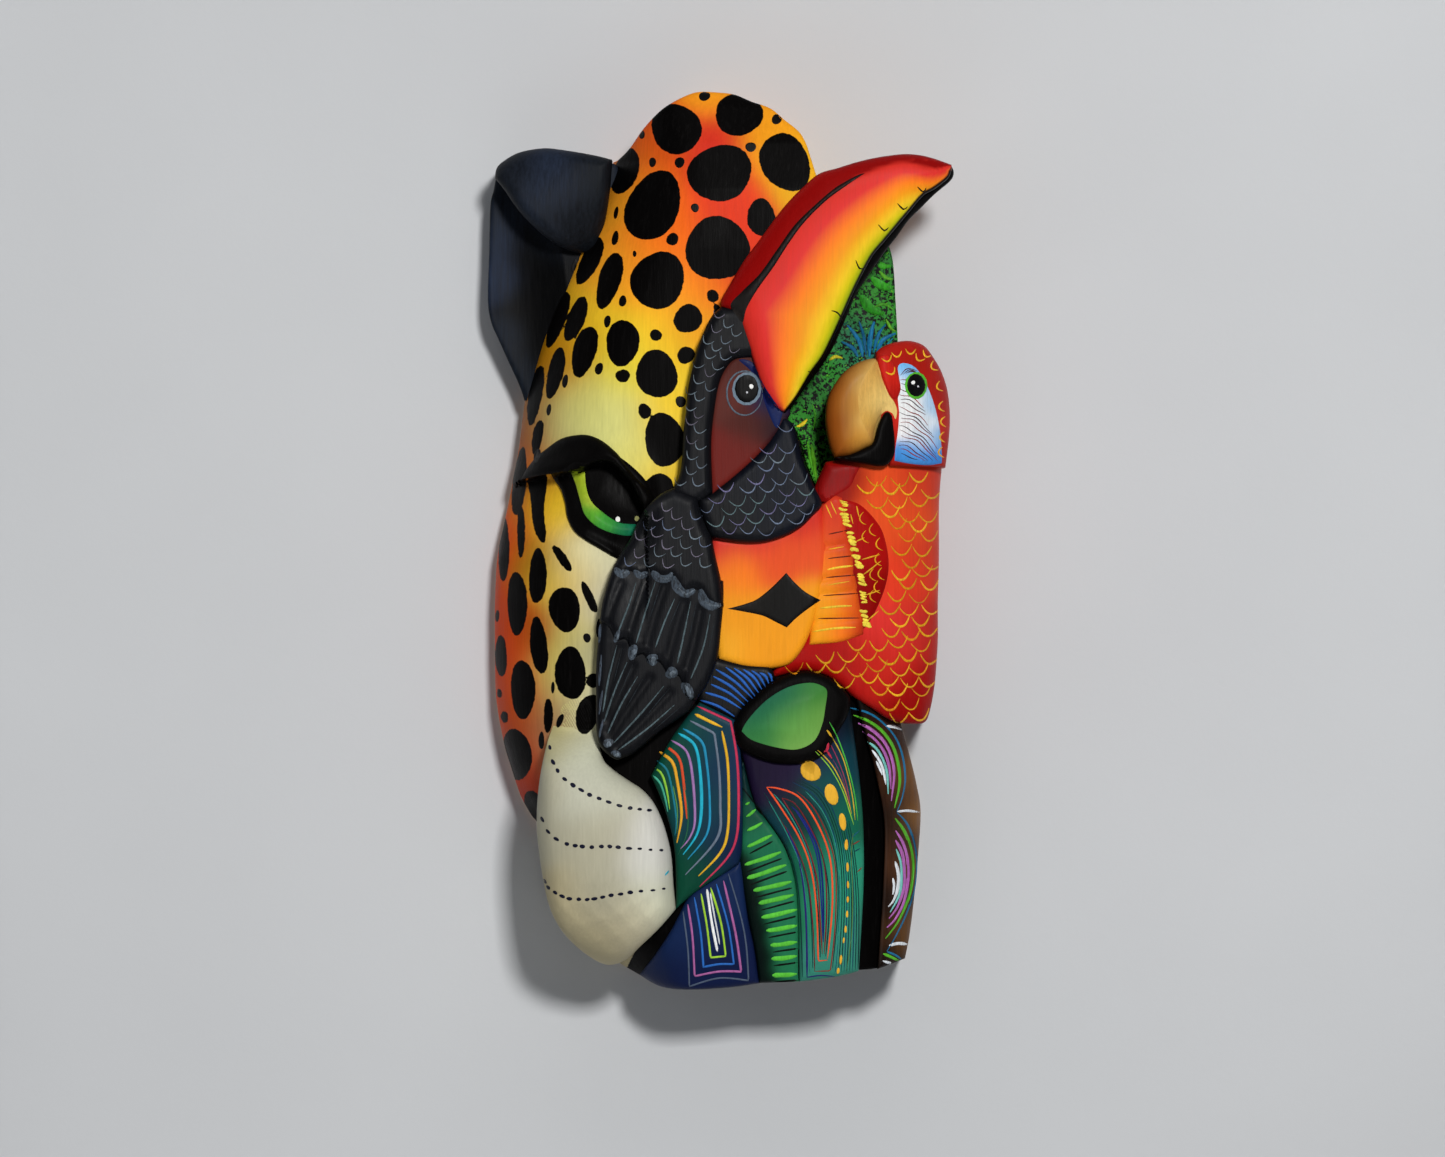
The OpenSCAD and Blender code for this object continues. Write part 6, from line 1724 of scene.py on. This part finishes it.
screw_verts, screw_faces = [], []
for side in (-1, 1):
    thread = []
    for k in range(12):
        d = SCREW_HEAD_H + 1.0 + 0.75 * k
        r = SCREW_R * (1 - 0.05 * max(0, k - 8))
        thread += [(r * 0.72, d), (r, d + 0.3), (r * 0.72, d + 0.55)]
    profile = [(0.5, 0.9), (0.62, 0.25), (0.9, 0.12), (SCREW_HEAD_R - 0.25, 0.12), (SCREW_HEAD_R - 0.05, 0.3),
        (SCREW_R, SCREW_HEAD_H), (SCREW_R * 0.8, SCREW_HEAD_H + 0.6)] + thread + [(0.15, SCREW_LEN)]
    v, f = lathe(profile, 20, (side * SCREW_X, plate_z))
    screw_faces += [tuple(i + len(screw_verts) for i in g[::-1]) for g in f]
    screw_verts += v
declare(make_object("hanger_screws_steel", row_place(*np.array(screw_verts).T), screw_faces, [SCREW_STEEL],
    sharp=35), "hanger_screws")


# ---------------------------------------------------------------- wall, floor, light and camera
def sheet(name, corners, material):
    """A large flat sheet, cut into squares."""
    n = 12
    a, b, c, d = (np.array(p, float) for p in corners)
    verts = [tuple((a * (1 - u) + b * u) * (1 - w) + (d * (1 - u) + c * u) * w)
        for w in np.linspace(0, 1, n + 1) for u in np.linspace(0, 1, n + 1)]
    faces = [(j * (n + 1) + i, j * (n + 1) + i + 1, (j + 1) * (n + 1) + i + 1, (j + 1) * (n + 1) + i)
        for j in range(n) for i in range(n)]
    mesh = bpy.data.meshes.new(name)
    mesh.from_pydata(verts, [], faces)
    mesh.materials.append(material)
    piece = bpy.data.objects.new(name, mesh)
    bpy.context.scene.collection.objects.link(piece)


def plaster(name, colour, see_through):
    """Pale painted plaster with a faint roller texture; see_through lets light and views from behind past."""
    n = Nodes(name)
    tone = n.noise(3.0, detail=3.0)
    base = n.mix("MIX", n.span(tone, 0.35, 0.65), rgb(colour) * 0.97, rgb(colour) * 1.03)
    n.join(base, n.shader.inputs["Base Color"])
    n.shader.inputs["Roughness"].default_value = 0.85
    n.join(n.bump(n.noise(240, detail=3.0), 0.12, 0.0006), n.shader.inputs["Normal"])
    if see_through:
        clear = n.add("ShaderNodeBsdfTransparent")
        blend = n.add("ShaderNodeMixShader")
        behind_it = n.add("ShaderNodeNewGeometry").outputs["Backfacing"]
        shadow = n.add("ShaderNodeLightPath").outputs["Is Shadow Ray"]
        n.join(n.math("MAXIMUM", behind_it, shadow), blend.inputs[0])
        n.join(n.shader.outputs[0], blend.inputs[1])
        n.join(clear.outputs[0], blend.inputs[2])
        n.join(blend.outputs[0], n.tree.nodes["Material Output"].inputs["Surface"])
    return n.material


WALL_Y = 0.0015
FLOOR_Z = -1.25
sheet("wall", [(-4, WALL_Y, FLOOR_Z), (4, WALL_Y, FLOOR_Z), (4, WALL_Y, 3), (-4, WALL_Y, 3)],
    plaster("wall_plaster", "c4c6c9", True))
sheet("floor", [(-4, -5, FLOOR_Z), (4, -5, FLOOR_Z), (4, WALL_Y, FLOOR_Z), (-4, WALL_Y, FLOOR_Z)],
    plaster("floor_plaster", "c4c6c9", False))


def area_light(name, place, target, size, power, colour):
    light = bpy.data.lights.new(name, "AREA")
    light.shape = "RECTANGLE"
    light.size, light.size_y = size
    light.energy = power
    light.color = colour
    lamp = bpy.data.objects.new(name, light)
    lamp.location = place
    lamp.rotation_euler = (Vector(target) - Vector(place)).to_track_quat("-Z", "Y").to_euler()
    bpy.context.scene.collection.objects.link(lamp)


CENTRE = Vector((0.0066, -0.05, -0.186))
area_light("key", (0.44, -2.45, 0.56), CENTRE, (0.28, 0.28), 54, (1.0, 0.99, 0.97))
area_light("fill_left", (-1.3, -2.2, 0.1), CENTRE, (1.3, 1.3), 2.0, (0.96, 0.98, 1.0))
area_light("top_soft", (0.1, -1.2, 1.5), CENTRE, (1.4, 1.0), 3.4, (1.0, 1.0, 1.0))
area_light("behind", (0.15, 1.6, 0.1), CENTRE, (1.2, 1.2), 16, (1.0, 0.98, 0.96))

world = bpy.data.worlds.new("studio")
bpy.context.scene.world = world
world.use_nodes = True
world.node_tree.nodes["Background"].inputs["Color"].default_value = (0.80, 0.84, 0.88, 1)
world.node_tree.nodes["Background"].inputs["Strength"].default_value = 0.10

CAMERA_DISTANCE = 3.6
FRAME_WIDTH = 0.6115
camera_data = bpy.data.cameras.new("camera")
camera_data.sensor_width = 36.0
camera_data.lens = 36.0 * CAMERA_DISTANCE / FRAME_WIDTH
camera = bpy.data.objects.new("camera", camera_data)
camera.location = (CENTRE.x, CENTRE.y - CAMERA_DISTANCE, CENTRE.z)
camera.rotation_euler = (math.radians(90), 0, 0)
bpy.context.scene.collection.objects.link(camera)
bpy.context.scene.camera = camera
bpy.context.scene.view_settings.view_transform = "Standard"
